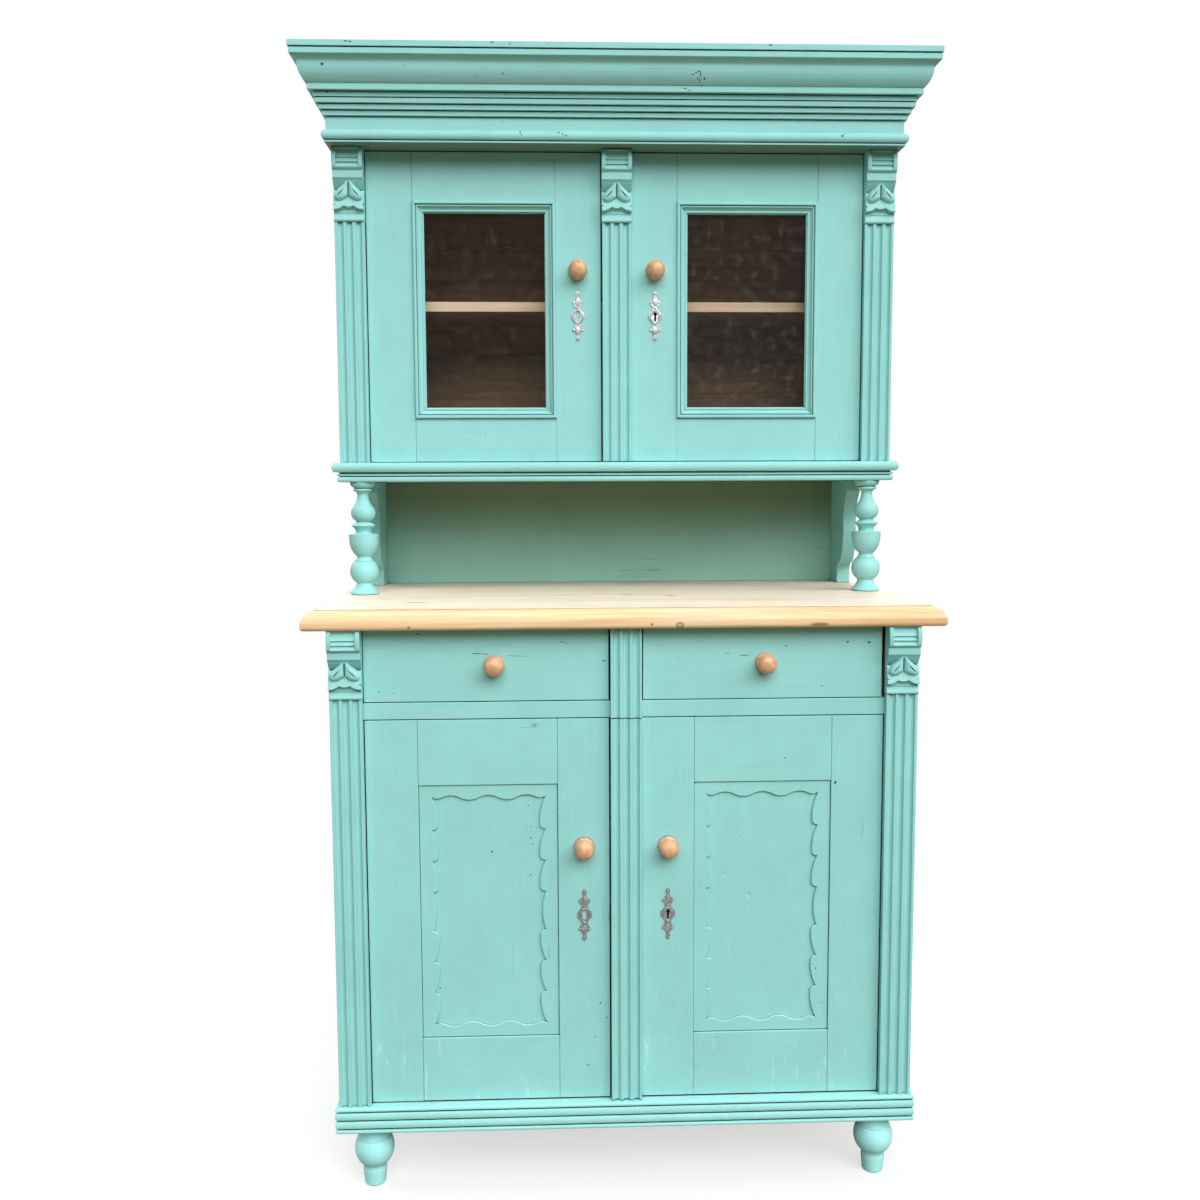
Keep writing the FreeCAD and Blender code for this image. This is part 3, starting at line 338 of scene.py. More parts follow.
# Old nail holes and chips: across, up, half width and half height, in millimetres
DRAWER_MARKS = ((409, 944, 2.2, 2.0), (269, 939, 1.5, 1.4), (373, 945, 1.6, 1.4), (-344, 965, 2.0, 1.6),
                (-106, 949, 4, 0.7), (-98, 947, 2, 0.6), (-248, 931, 8, 0.6), (-233, 930, 5, 0.5),
                (-37, 917, 4, 0.6), (-410, 869, 2, 0.8), (-399, 867, 1.2, 0.7), (-386, 866, 2.4, 0.6),
                (170, 928, 6, 0.6), (198, 924, 9, 0.5), (330, 871, 3, 0.6))
DOOR_MARKS = ((-160, 634, 0.9, 0.9), (-152, 632, 0.9, 0.9), (-161, 627, 0.7, 0.7), (-167, 634, 0.6, 0.8),
              (-161, 615, 1.3, 1.2), (-152, 615, 1.0, 0.9), (-158, 604, 0.9, 1.1), (-165, 671, 1.2, 1.1),
              (-122, 662, 0.8, 1.1), (-162, 551, 1.1, 1.3), (-168, 542, 0.7, 0.7), (-227, 592, 1.6, 1.4),
              (-318, 355, 1.3, 1.3), (-45, 326, 1.1, 1.8), (-54, 266, 1.3, 1.1), (-66, 216, 2.2, 0.9),
              (326, 379, 1.2, 1.8), (321, 386, 0.8, 1.0), (269, 749, 1.2, 2.0), (355, 705, 2.0, 3.0),
              (-34, 300, 0.8, 2.2), (-70, 240, 1.0, 0.8))
CORNICE_MARKS = ((-509, 1929, 2.6, 2.2), (-369, 1928, 1.3, 1.2), (-200, 1917, 1.5, 1.2),
                 (-505, 1890, 2.4, 1.8), (-466, 1963, 3, 1.2), (-459, 1962, 3.5, 1.0),
                 (-217, 1963, 3.5, 1.1), (-187, 1961, 1.6, 1.2), (-172, 1828, 1.6, 2.2),
                 (-169, 1823, 1.2, 1.6), (-104, 1828, 1.4, 1.1), (-97, 1825, 1.1, 1.3),
                 (-91, 1822, 1.6, 1.0), (400, 1825, 2.2, 1.8), (404, 1829, 1.2, 1.0),
                 (262, 1963, 3.5, 1.0), (129, 1918, 3.2, 0.8), (135, 1921, 2.2, 1.0),
                 (140, 1923, 2.2, 1.2), (143, 1918, 1.0, 4.0), (142, 1910, 0.8, 4.0), (138, 1912, 0.7, 3.0),
                 (150, 1912, 2.2, 2.6), (146, 1902, 1.0, 2.4), (117, 1898, 4.5, 0.9), (124, 1895, 3.0, 0.8))

# Knots and short cracks in the worktop, as middles and half sizes in metres, and one ring-shaped knot
WORKTOP_KNOTS = (((-0.355, -0.145, 1.008), (0.026, 0.007, 0.006)),
                 ((0.015, -0.030, 1.008), (0.014, 0.007, 0.006)),
                 ((0.094, -0.050, 1.008), (0.016, 0.009, 0.006)),
                 ((0.041, -0.274, 0.981), (0.0035, 0.010, 0.003)),
                 ((0.318, -0.274, 0.979), (0.020, 0.010, 0.0042)),
                 ((-0.355, -0.274, 0.979), (0.004, 0.010, 0.003)),
                 ((0.185, -0.268, 1.0065), (0.0013, 0.012, 0.004)),
                 ((0.300, -0.268, 1.0065), (0.0013, 0.012, 0.004)))
WORKTOP_EYE = ((0.087, -0.274, 0.979), (0.0062, 0.014, 0.0052))


def shades_of(paint):
    """A paint's darker and paler tone."""
    return colour(*(part * 0.62 for part in paint)), colour(*(part * 1.38 for part in paint))


def green_paint(name, along, paint=GREEN, top_shade=None, marks=(), speckled=0.05, joint_shade=(0.46, 0.72)):
    """Turquoise eggshell paint on pine: brush lines, scuffs, dents, worm holes, painted shade in corners and
    gaps.
    """
    material, place = new_finish(name)
    run = place.stretched(LENGTHWISE[along])
    brush = run.noise(240, 3, 0.6)
    hairs = run.noise(800, 2, 0.6)
    broad = place.noise(7, 2)
    cloud = place.noise(26, 2)
    eaten = place.noise(11, 1).ramp(0.72 - 2 * speckled, 0.80 - 2 * speckled)
    worm = place.specks(170, 0.9 * MM, speckled) * eaten
    dent = place.specks(24, 5 * MM, 0.13)
    nick = place.specks(75, 2.2 * MM, 0.06) * cloud.ramp(0.5, 0.6)
    split = abs(run.noise(34, 2, 0.5) - 0.5).ramp(0.004, 0.001) * place.noise(9, 1).ramp(0.64, 0.72)
    pits = worm
    for across, up, half_wide, half_high in marks:
        hole = place.spot((across * MM, 0, up * MM), (half_wide * MM, 1, half_high * MM))
        pits = pits | (hole + 1.2 * (cloud - 0.5)).ramp(1.05, 0.75)
    patchy = 0.18 * (broad - 0.5) + 0.12 * (cloud - 0.5)
    lightness = patchy + 0.13 * (brush - 0.5) + 0.08 * (hairs - 0.5) + 0.5
    level = place.axis("Z")
    # Darker towards the bottom, from 0.85 m down to 0.45 m, but not on the plinth
    lightness = lightness - 0.055 * (level.ramp(*DARKER_LOW) * level.ramp(*NOT_ON_PLINTH))
    fresh = lightness.tint(*shades_of(paint))
    scuffs = place.stretched((1, 1, 0.22)).noise(85, 3, 0.6).ramp(0.60, 0.72) * level.ramp(*SCUFFED)
    fresh = (scuffs * place.noise(5, 1).ramp(0.45, 0.6) * 0.6).tint(fresh, SCUFFED_GREEN)
    # Painted shade: towards the top the paint darkens to another tone
    if top_shade:
        fresh = level.ramp(*NICHE_SHADE_LEVELS).tint(fresh, lightness.tint(*shades_of(top_shade)))
    # Painted shade: occlusion darkens the paint in corners, and cracks along the grain darken it too
    shaded_corners_and_cracks = (place.crevice(12 * MM).ramp(0.40, 0.95) * 0.75 | split * 0.5).tint(fresh, CORNER_SHADE_AND_CRACK_GREEN)
    # Painted shade: occlusion turns the gaps between parts near black, and worm holes and marks are drawn
    # near black as well
    shaded_gaps_and_holes = (place.crevice(3.5 * MM).ramp(*joint_shade) | pits * 0.9).tint(shaded_corners_and_cracks, SHADED_GAP_AND_HOLE_BLACK)
    roughness = 0.44 + 0.14 * brush + 0.08 * cloud
    height = 0.12 * brush + 0.06 * hairs + 0.5 * broad - 0.45 * dent - 0.3 * nick - 0.9 * pits - 0.35 * split
    coat(place, shaded_gaps_and_holes, roughness, height, Specular_IOR_Level=0.22)
    return material


def worktop_wood():
    """Stripped pine: bleached cream on top, waxed honey on the moulded edge, with knots, cracks, and painted
    shade in its crease and corners.
    """
    material, place = new_finish("stripped_pine_worktop")
    run = place.stretched(LENGTHWISE["x"])
    rings = run.noise(70, 4, 0.62, 0.6)
    streaks = run.noise(260, 3, 0.6)
    pores = run.noise(900, 2, 0.6)
    stain = place.noise(9, 3)
    level = place.axis("Z")
    on_top = level.ramp(WORKTOP_QUIRK - 0.4 * MM, WORKTOP_QUIRK + 0.8 * MM)
    bleached = (rings.ramp(0.35, 0.70) * 0.55 + streaks.ramp(0.3, 0.8) * 0.45).tint(
        colour(0.885, 0.79, 0.655), colour(0.64, 0.525, 0.40))
    waxed = (rings.ramp(0.30, 0.72) * 0.65 + streaks.ramp(0.3, 0.8) * 0.35).tint(
        colour(0.85, 0.635, 0.385), colour(0.62, 0.355, 0.155))
    wood = on_top.tint(waxed, bleached)
    faded = (stain.ramp(0.45, 0.75) * 0.35).tint(wood, colour(0.66, 0.56, 0.44))
    knots = None
    for centre, radii in WORKTOP_KNOTS:
        knot = (place.spot(centre, radii) + 0.5 * (streaks - 0.5)).ramp(1.0, 0.45)
        knots = knot if knots is None else knots | knot
    eye = place.spot(*WORKTOP_EYE)
    knots = knots | abs(eye - 0.85).ramp(0.36, 0.12) | eye.ramp(0.85, 0.6) * 0.45
    specks = place.specks(70, 1.1 * MM, 0.10) * place.noise(14, 1).ramp(0.45, 0.6)
    crack = abs(run.noise(30, 2, 0.5) - 0.5).ramp(0.006, 0.001) * place.noise(8, 1).ramp(0.56, 0.66)
    # Painted shade: a dark line along the crease between top and edge, and occlusion darkening the corners
    crease_shade = abs(level - WORKTOP_QUIRK).ramp(1.1 * MM, 0.3 * MM) * (0.35 + 0.65 * place.noise(40, 2))
    corner_shade = place.crevice(10 * MM).ramp(0.5, 1.0)
    marked_and_shaded = (knots * 0.75 | specks * 0.8 | crack * 0.7 | crease_shade * 0.75 | corner_shade * 0.7).tint(
        faded, colour(0.16, 0.075, 0.035))
    height = 0.12 * streaks + 0.05 * pores + 0.25 * rings - 0.8 * specks - 0.5 * crack - 0.2 * knots
    coat(place, marked_and_shaded, 0.5 + 0.2 * streaks, height, Specular_IOR_Level=0.35)
    return material


def pine(name, along, pale, dark):
    """Bare or stained pine for shelves, insides, drawer boxes and the back, with painted shade in its
    corners.
    """
    material, place = new_finish(name)
    run = place.stretched(LENGTHWISE[along])
    rings = run.noise(45, 4, 0.6, 0.8)
    streaks = run.noise(300, 3, 0.65)
    cloud = place.noise(8, 2)
    wood = (rings.ramp(0.3, 0.7) * 0.6 + streaks * 0.3 + cloud * 0.25).tint(pale, dark)
    knot = place.specks(9, 11 * MM, 0.16)
    speck = place.specks(120, 0.9 * MM, 0.03)
    # Painted shade: occlusion darkens the wood in corners
    corner_shade = place.crevice(9 * MM).ramp(0.45, 0.95)
    marked_and_shaded = (knot * 0.55 | speck * 0.7 | corner_shade * 0.8).tint(wood, colour(0.05, 0.026, 0.013))
    height = 0.10 * streaks + 0.2 * rings - 0.5 * speck
    coat(place, marked_and_shaded, 0.55 + 0.2 * streaks, height, Specular_IOR_Level=0.3)
    return material


def turned_wood():
    """Waxed beech of the knobs, with flecks and scuffs, and painted shade darkening it in corners."""
    material, place = new_finish("turned_beech")
    run = place.stretched((1, 0.12, 0.6))
    rings = run.noise(120, 3, 0.6, 0.4)
    flecks = place.stretched((1, 1, 0.3)).noise(900, 2, 0.7)
    scuff = place.noise(95, 3, 0.65).ramp(0.58, 0.72)
    wood = (rings.ramp(0.3, 0.7) * 0.6 + flecks * 0.4).tint(
        colour(0.80, 0.48, 0.275), colour(0.49, 0.235, 0.11))
    worn = (scuff * 0.4).tint(wood, colour(0.90, 0.66, 0.46))
    # Painted shade: occlusion darkens the wood where the knob meets the door
    corner_shade = place.crevice(8 * MM).ramp(0.4, 0.95)
    shaded_in_corners = (corner_shade * 0.7).tint(worn, colour(0.14, 0.06, 0.025))
    coat(place, shaded_in_corners, 0.36 + 0.2 * scuff, 0.05 * flecks + 0.08 * rings, Specular_IOR_Level=0.45)
    return material


def pressed_plate(name, bright, dull):
    """Pressed metal with a worn shine, cross-hatching and dirt in its hollows."""
    material, place = new_finish(name)
    wear = place.noise(260, 3, 0.6)
    fine = place.noise(1400, 2, 0.6)
    hatch = place.node("TexWave", {"wave_type": "BANDS", "bands_direction": "DIAGONAL"},
                       {"Vector": place, "Scale": 160, "Distortion": 0.4}, out="Fac")
    dirt = place.crevice(2.2 * MM).ramp(0.30, 0.85)
    metal = wear.ramp(0.35, 0.7).tint(dull, bright)
    stained = (dirt * 0.85).tint(metal, colour(0.035, 0.038, 0.036))
    coat(place, stained, 0.30 + 0.25 * wear, 0.05 * fine + 0.10 * hatch, Metallic=0.9)
    return material


def black_iron():
    """Dull iron of pins, locks, bolts and catches."""
    material, place = new_finish("dull_iron")
    wear = place.noise(180, 3, 0.6)
    rust = place.noise(420, 3, 0.65).ramp(0.58, 0.75)
    metal = wear.tint(colour(0.10, 0.10, 0.105), colour(0.30, 0.29, 0.28))
    stained = (rust * 0.6).tint(metal, colour(0.16, 0.07, 0.03))
    coat(place, stained, 0.38 + 0.3 * rust, 0.06 * wear, Metallic=0.85)
    return material


def old_glass(name, haze):
    """Old window glass with faint waves and a little dirt."""
    material, place = new_finish(name)
    waves = place.noise(9, 2)
    dirt = place.noise(60, 4, 0.65).ramp(0.45, 0.85)
    coat(place, dirt.tint(colour(0.05, 0.045, 0.04), colour(0.42, 0.38, 0.33)), 0.05 + 0.10 * dirt,
         0.35 * waves, Alpha=haze, IOR=1.5)
    return material


PAINT = {along: green_paint(f"green_paint_{word}", along)
         for along, word in (("x", "level"), ("y", "deep"), ("z", "upright"))}
PLINTH_PAINT = {along: green_paint(f"green_paint_plinth_{along}", along, PLINTH_GREEN) for along in "xy"}
# Painted shade in the joints is stronger on the door frames and weaker on the panels
DOOR_PAINT = {along: green_paint(f"green_paint_doors_{along}", along, marks=DOOR_MARKS,
                                 joint_shade=(0.34, 0.58)) for along in "xz"}
PANEL_PAINT = {along: green_paint(f"green_paint_panels_{along}", along, marks=DOOR_MARKS,
                                  joint_shade=(0.56, 0.80)) for along in "xz"}
COLUMN_PAINT = green_paint("green_paint_columns", "z", speckled=0.16)
FOOT_PAINT = green_paint("green_paint_feet", "z", FOOT_GREEN)
DRAWER_PAINT = {"x": green_paint("green_paint_drawers", "x", marks=DRAWER_MARKS)}
CORNICE_PAINT = {along: green_paint(f"green_paint_cornice_{along}", along, marks=CORNICE_MARKS)
                 for along in "xy"}
SOFFIT_SHADE_PAINT = green_paint("green_paint_shaded_soffits", "x", SOFFIT_SHADE_GREEN)
NICHE_SHADE_PAINT = {"x": green_paint("niche_paint", "x", NICHE_SHADE_GREEN, NICHE_TOP_SHADE_GREEN)}
WORKTOP_PINE = worktop_wood()
SHELF_PINE = {along: pine(f"shelf_pine_{along}", along, colour(0.90, 0.73, 0.55), colour(0.68, 0.48, 0.30))
              for along in "xyz"}
INSIDE_PINE = {along: pine(f"inside_pine_{along}", along, colour(0.36, 0.200, 0.105),
                           colour(0.18, 0.088, 0.044)) for along in "xyz"}
BEECH = turned_wood()
SILVERED = pressed_plate("pressed_metal_bright", colour(0.46, 0.455, 0.475), colour(0.29, 0.285, 0.295))
PEWTER = pressed_plate("pressed_metal_dull", colour(0.32, 0.31, 0.305), colour(0.175, 0.17, 0.165))
IRON = black_iron()
# The right pane is hazier than the left: partly its own dirt, partly a painted reflection
GLASS = {"left": old_glass("old_window_glass", 0.065), "right": old_glass("hazy_window_glass_with_painted_reflection", 0.10)}


# Boards from the frame, with their edges eased


def mark_solids(piece):
    """Give the faces of each closed solid their own number, and return how long each solid is."""
    mesh = piece.data
    corners = [tuple(round(part, 6) for part in vertex.co) for vertex in mesh.vertices]
    number = 0
    open_edges = set()
    sizes = []
    inside = []
    for face in mesh.polygons:
        face.material_index = number
        ring = [corners[index] for index in face.vertices]
        inside += ring
        for edge in zip(ring, ring[1:] + ring[:1]):
            if edge[::-1] in open_edges:
                open_edges.remove(edge[::-1])
            else:
                open_edges.add(edge)
        if not open_edges:
            sizes.append([max(axis) - min(axis) for axis in zip(*inside)])
            number += 1
            inside = []
    return sizes


def merged_copy(node, name):
    """A copy of a frame node with each solid's own corners merged and its flat faces made whole."""
    piece = another(frame["nodes"][node], name)
    del piece["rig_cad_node"]
    piece.data.materials.clear()
    bpy.ops.mesh.customdata_custom_splitnormals_clear()
    sizes = mark_solids(piece)
    with editing(piece):
        for number in range(len(sizes)):
            mesh = bmesh.from_edit_mesh(piece.data)
            bpy.ops.mesh.select_mode(type="FACE")
            bpy.ops.mesh.select_all(action="DESELECT")
            for face in mesh.faces:
                face.select_set(face.material_index == number)
            bmesh.update_edit_mesh(piece.data)
            bpy.ops.mesh.remove_doubles(threshold=0.002 * MM)
        bpy.ops.mesh.select_all(action="SELECT")
        bpy.ops.mesh.dissolve_limited(angle_limit=math.radians(0.4))
    return piece, sizes


def finish_by_length(piece, sizes, finishes):
    """Give each solid the finish that runs along its longest side."""
    used = sorted({max(zip(size, "xyz"))[1] for size in sizes})
    for along in used:
        piece.data.materials.append(finishes[along])
    order = [used.index(max(zip(size, "xyz"))[1]) for size in sizes]
    for face in piece.data.polygons:
        face.material_index = order[face.material_index]


def close_mitres(piece):
    """Close the painted-over mitres of a panel's scalloped border, so that no joint shows."""
    low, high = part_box("lower_door_right_panel")
    panel = (low + high) / 2
    tongue = Vector((PANEL_TONGUE, 0, PANEL_TONGUE))
    half = (high - low) / 2 - tongue

    def on_mitre(middle, normal):
        from_side = half.x - abs(abs(middle.x) - panel.x)
        from_end = half.z - abs(middle.z - panel.z)
        slanted = abs(normal.y) < 0.01 and abs(abs(normal.x) - abs(normal.z)) < 0.01
        return slanted and abs(from_side - from_end) < NEAR

    with editing(piece):
        select_faces(piece, on_mitre)
        bpy.ops.mesh.delete(type="FACE")
        bpy.ops.mesh.select_all(action="SELECT")
        bpy.ops.mesh.remove_doubles(threshold=0.02 * MM)


def eased(node, finishes, width, segments=2):
    """A frame node with its sharp edges eased by some millimetres."""
    piece, sizes = merged_copy(node, node + "_eased")
    finish_by_length(piece, sizes, finishes)
    if node.endswith("_panel"):
        close_mitres(piece)
    apply_modifier(piece, "BEVEL", width=width * MM, segments=segments, limit_method="ANGLE",
                   angle_limit=math.radians(SHARP_EDGE), use_clamp_overlap=False)
    even_shading(piece)
    return stands_for(piece, node)


def even_shading(piece):
    """Smooth a piece across its eased edges and keep its flat faces flat."""
    smooth(piece, SHARP_EDGE)
    apply_modifier(piece, "WEIGHTED_NORMAL", keep_sharp=True)


def refinish(piece, finish, wanted):
    """Give some faces of a piece another finish."""
    piece.data.materials.append(finish)
    only(piece)
    piece.active_material_index = len(piece.data.materials) - 1
    bpy.ops.object.mode_set(mode="EDIT")
    select_faces(piece, wanted)
    bpy.ops.object.material_slot_assign()
    bpy.ops.object.mode_set(mode="OBJECT")


for node in ("drawer_left_front", "drawer_right_front"):
    eased(node, DRAWER_PAINT, BOARD_EASE)
for node in ("drawer_rail", "side_brackets", "upper_door_left_frame", "upper_door_right_frame"):
    eased(node, PAINT, BOARD_EASE, segments=3)
for node in ("lower_door_left_frame", "lower_door_right_frame"):
    eased(node, DOOR_PAINT, BOARD_EASE, segments=3)
eased("niche_back", NICHE_SHADE_PAINT, BOARD_EASE)
for node in ("lower_door_left_panel", "lower_door_right_panel"):
    eased(node, PANEL_PAINT, PANEL_EASE, segments=3)
for node in ("base_pilasters", "hutch_pilasters", "drawer_divider", "lower_door_right_strip"):
    eased(node, PAINT, FLUTE_EASE)
for node in ("upper_door_left_glazing", "upper_door_right_glazing"):
    eased(node, PAINT, MOULDING_EASE)
eased("plinth_moulding", PLINTH_PAINT, FLUTE_EASE)
for node in ("cornice_frieze", "cornice_crown"):
    eased(node, CORNICE_PAINT, MOULDING_EASE)
# The undersides of the hutch floor and roof take the darker soffit paint, painted shade
for node, finishes in (("hutch_floor", PAINT), ("hutch_roof", CORNICE_PAINT)):
    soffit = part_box(node)[0].z + NEAR_SOFFIT
    shelf = eased(node, finishes, MOULDING_EASE)
    refinish(shelf, SOFFIT_SHADE_PAINT, lambda middle, normal: normal.z < -0.7 and middle.z < soffit)
for node in ("base_sides", "hutch_sides"):
    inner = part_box(node)[1].x - SIDE_THICK + NEAR
    sides = eased(node, PAINT, BOARD_EASE)
    refinish(sides, INSIDE_PINE["z"],
             lambda middle, normal: abs(middle.x) < inner and normal.x * middle.x < 0)
for node in ("base_bottom_board", "base_back_boards", "hutch_back_boards", "cornice_dust_board"):
    eased(node, INSIDE_PINE, PLANK_EASE)
for node in ("base_shelf", "hutch_shelf", "drawer_runners", "drawer_left_box", "drawer_right_box"):
    board = eased(node, SHELF_PINE, PLANK_EASE)
    # Painted shade: the underside of the hutch shelf takes the darker inside pine
    if node == "hutch_shelf":
        refinish(board, INSIDE_PINE["x"], lambda middle, normal: normal.z < -0.7)
eased("worktop", {"x": WORKTOP_PINE}, WORKTOP_EASE)
eased("turned_feet", {along: FOOT_PAINT for along in "xyz"}, FOOT_EASE)
eased("turned_columns", {along: COLUMN_PAINT for along in "xyz"}, COLUMN_EASE)

for node, piece in frame["nodes"].items():
    if node.endswith(("_irons", "_bolt", "_bushes", "_catches")):
        piece.data.materials.clear()
        piece.data.materials.append(IRON)
    if node.endswith("_glass"):
        piece.data.materials.clear()
        piece.data.materials.append(GLASS["left" if "left" in node else "right"])


# Turned knobs


def drawn_line(name, points):
    """A line through some points, drawn by extruding one corner from point to point."""
    bpy.ops.object.select_all(action="DESELECT")
    bpy.ops.mesh.primitive_plane_add(size=MM, location=(0, 0, 0))
    piece = bpy.context.object
    piece.name = name
    with editing(piece):
        bpy.ops.mesh.merge(type="CENTER")
        bpy.ops.transform.translate(value=points[0])
        for start, end in zip(points, points[1:]):
            bpy.ops.mesh.extrude_region_move(TRANSFORM_OT_translate={"value": end - start})
    return piece


def spun(name, profile, steps=48):
    """A turned piece along -Y, from a profile of radii and distances in millimetres."""
    piece = drawn_line(name, [Vector((radius * MM, -distance * MM, 0)) for radius, distance in profile])
    with editing(piece):
        bpy.ops.mesh.spin(steps=steps, angle=math.tau, center=(0, 0, 0), axis=(0, 1, 0))
        bpy.ops.mesh.select_all(action="SELECT")
        bpy.ops.mesh.remove_doubles(threshold=0.01 * MM)
        bpy.ops.mesh.normals_make_consistent(inside=False)
    smooth(piece, 40)
    return piece


def knob_master():
    """A turned knob: a wide collar against the wood, a groove, and a ball a little flat at its tip."""
    collar = [(0, 0), (16.2, 0), (17.2, 1.4), (17.4, 3.4), (16.8, 5.4), (15.0, 6.9), (12.6, 8.0),
              (11.4, 9.0)]
    ball_radius = 16.6
    ball_half_deep = 13.5
    ball_middle = 19.5
    ball_steps = 16
    ball = []
    for step in range(ball_steps):
        turn = math.radians(-46 + 136 * step / ball_steps)
        ball.append((ball_radius * math.cos(turn), ball_middle + ball_half_deep * math.sin(turn)))
    ball.append((0, ball_middle + ball_half_deep))
    return spun("knob_master", collar + ball)


knob = knob_master()
for node in ("drawer_left_knob", "drawer_right_knob", "lower_door_left_knob", "lower_door_right_knob",
             "upper_door_left_knob", "upper_door_right_knob"):
    low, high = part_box(node)
    pull = another(knob, node + "_turned")
    face = BASE_FACE if "upper" not in node else HUTCH_FACE
    pull.location = ((low.x + high.x) / 2, face, (low.z + high.z) / 2)
    settle(pull)
    pull.data.materials.append(BEECH)
    stands_for(pull, node)
remove(knob)


# Pressed escutcheons


def dome(name, place, radii):
    """A low rounded stud or boss, or a rounded cutter."""
    bpy.ops.object.select_all(action="DESELECT")
    bpy.ops.mesh.primitive_uv_sphere_add(segments=24, ring_count=12, radius=1, location=place)
    piece = bpy.context.object
    piece.name = name
    piece.scale = radii
    settle(piece)
    return piece


def escutcheon(node, finish, keyed):
    """A pressed plate: raised rim round a keyhole or a plain oval, bossed diamonds, a nail at each tip."""
    low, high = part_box(node)
    middle = (low + high) / 2
    front = low.y
    plate, _ = merged_copy(node, node + "_pressed")
    if not keyed:
        bpy.ops.mesh.primitive_cylinder_add(vertices=40, radius=1, depth=2,
                                            location=(middle.x, middle.y, middle.z - 0.8 * MM),
                                            rotation=(math.pi / 2, 0, 0))
        oval = bpy.context.object
        oval.scale = (3.7 * MM, 8.6 * MM, 6 * MM)
        settle(oval)
        cut(plate, oval)
    apply_modifier(plate, "BEVEL", width=0.5 * MM, segments=2, limit_method="ANGLE",
                   angle_limit=math.radians(50), use_clamp_overlap=False)
    bpy.ops.object.select_all(action="DESELECT")
    bpy.ops.mesh.primitive_torus_add(location=(middle.x, front - 0.1 * MM, middle.z - 0.5 * MM),
                                     rotation=(math.pi / 2, 0, 0), major_segments=48, minor_segments=10,
                                     major_radius=8.0 * MM, minor_radius=1.25 * MM)
    rim = bpy.context.object
    rim.scale = (1, 1.42, 1)
    settle(rim)
    bosses = [rim]
    for up in (-1, 1):
        bosses.append(dome("boss", (middle.x, front, middle.z + 25.5 * MM * up),
                           (5.4 * MM, 1.2 * MM, 7.2 * MM)))
        for across in (-1, 1):
            bosses.append(dome("lobe", (middle.x + 7.3 * MM * across, front, middle.z + 24.8 * MM * up),
                               (2.6 * MM, 0.7 * MM, 2.2 * MM)))
        bosses.append(dome("bead", (middle.x, front, middle.z + 14.4 * MM * up),
                           (2.1 * MM, 1.5 * MM, 2.1 * MM)))
        bosses.append(dome("nail", (middle.x, front - 0.2 * MM, middle.z + 40.5 * MM * up),
                           (2.0 * MM, 1.5 * MM, 2.0 * MM)))
    join(plate, *bosses)
    smooth(plate, 40)
    plate.data.materials.clear()
    plate.data.materials.append(finish)
    return stands_for(plate, node)


escutcheon("upper_door_left_escutcheon", SILVERED, keyed=False)
escutcheon("upper_door_right_escutcheon", SILVERED, keyed=True)
escutcheon("lower_door_left_escutcheon", PEWTER, keyed=False)
escutcheon("lower_door_right_escutcheon", PEWTER, keyed=True)


# Carved corbels


def petal(x, half_wide, half_high, middle, flare):
    """One tongue of the skirt, its lower rim tipped forward by some degrees."""
    thick = 10 * MM
    in_front = 13.2 * MM
    bpy.ops.object.select_all(action="DESELECT")
    bpy.ops.mesh.primitive_cylinder_add(vertices=64, radius=1, depth=1, location=(0, 0, 0),
                                        rotation=(math.pi / 2, 0, 0))
    piece = bpy.context.object
    settle(piece)
    piece.scale = (half_wide, thick, half_high)
    piece.rotation_euler = (math.radians(-flare), 0, 0)
    piece.location = (x, -in_front, middle)
    settle(piece)
    return piece


def block(low, high):
    """A plain block between two corners, used to trim with."""
    bpy.ops.object.select_all(action="DESELECT")
    bpy.ops.mesh.primitive_cube_add(size=1, location=(Vector(low) + Vector(high)) / 2)
    piece = bpy.context.object
    piece.scale = Vector(high) - Vector(low)
    settle(piece)
    return piece


def long_moulding(outline, half_wide):
    """A length with one section all along X, from an outline of depths and levels in millimetres."""
    piece = drawn_line("moulding", [Vector((-half_wide, out * MM, level * MM)) for out, level in outline])
    with editing(piece):
        bpy.ops.mesh.edge_face_add()
        bpy.ops.mesh.extrude_region_move(TRANSFORM_OT_translate={"value": (2 * half_wide, 0, 0)})
        bpy.ops.mesh.select_all(action="SELECT")
        bpy.ops.mesh.normals_make_consistent(inside=False)
    return piece


def leaf(side):
    """One fat carved leaf that hangs outwards from the middle of the hollow, with a crease along it."""
    outline = [(0.6, -56.5), (5, -60.5), (11, -66), (18, -72), (23.5, -79), (25.6, -86), (23.5, -91.5),
               (17, -93.8), (10, -91.8), (4, -87.6), (0.6, -84)]
    half_deep = 8 * MM
    piece = long_moulding([(-side * across, level) for across, level in outline], half_deep)
    with editing(piece):
        select_faces(piece, lambda middle, normal: middle.x < -0.9 * half_deep)
        belly = (-half_deep, -side * 13.5 * MM, -80 * MM)
        for rise, narrowed in ((2.2, 0.9), (1.9, 0.84), (1.3, 0.74), (0.6, 0.55)):
            bpy.ops.mesh.extrude_region_move(TRANSFORM_OT_translate={"value": (-rise * MM, 0, 0)})
            bpy.ops.transform.resize(value=(1, narrowed, narrowed), center_override=belly)
    piece.rotation_euler = (0, 0, math.radians(90))
    piece.location = (0, -10.5 * MM, 0)
    settle(piece)
    crease = dome("crease", (0, 0, 0), (0.9 * MM, 4.2 * MM, 12 * MM))
    crease.rotation_euler = (0, math.radians(41) * -side, 0)
    crease.location = (side * 13.4 * MM, -25.6 * MM, -79.5 * MM)
    settle(crease)
    cut(piece, crease)
    return piece


# Where the frame's corbels stand, and the one at the top of the closing strip
hutch_low, hutch_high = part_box("hutch_corbels")
base_low, base_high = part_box("base_corbels")
hutch_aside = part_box("hutch_pilasters")[1].x - CORBEL_WIDE / 2
base_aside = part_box("base_pilasters")[1].x - CORBEL_WIDE / 2
strip_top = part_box("upper_door_right_strip")[1].z
corbel_high = hutch_high.z - hutch_low.z


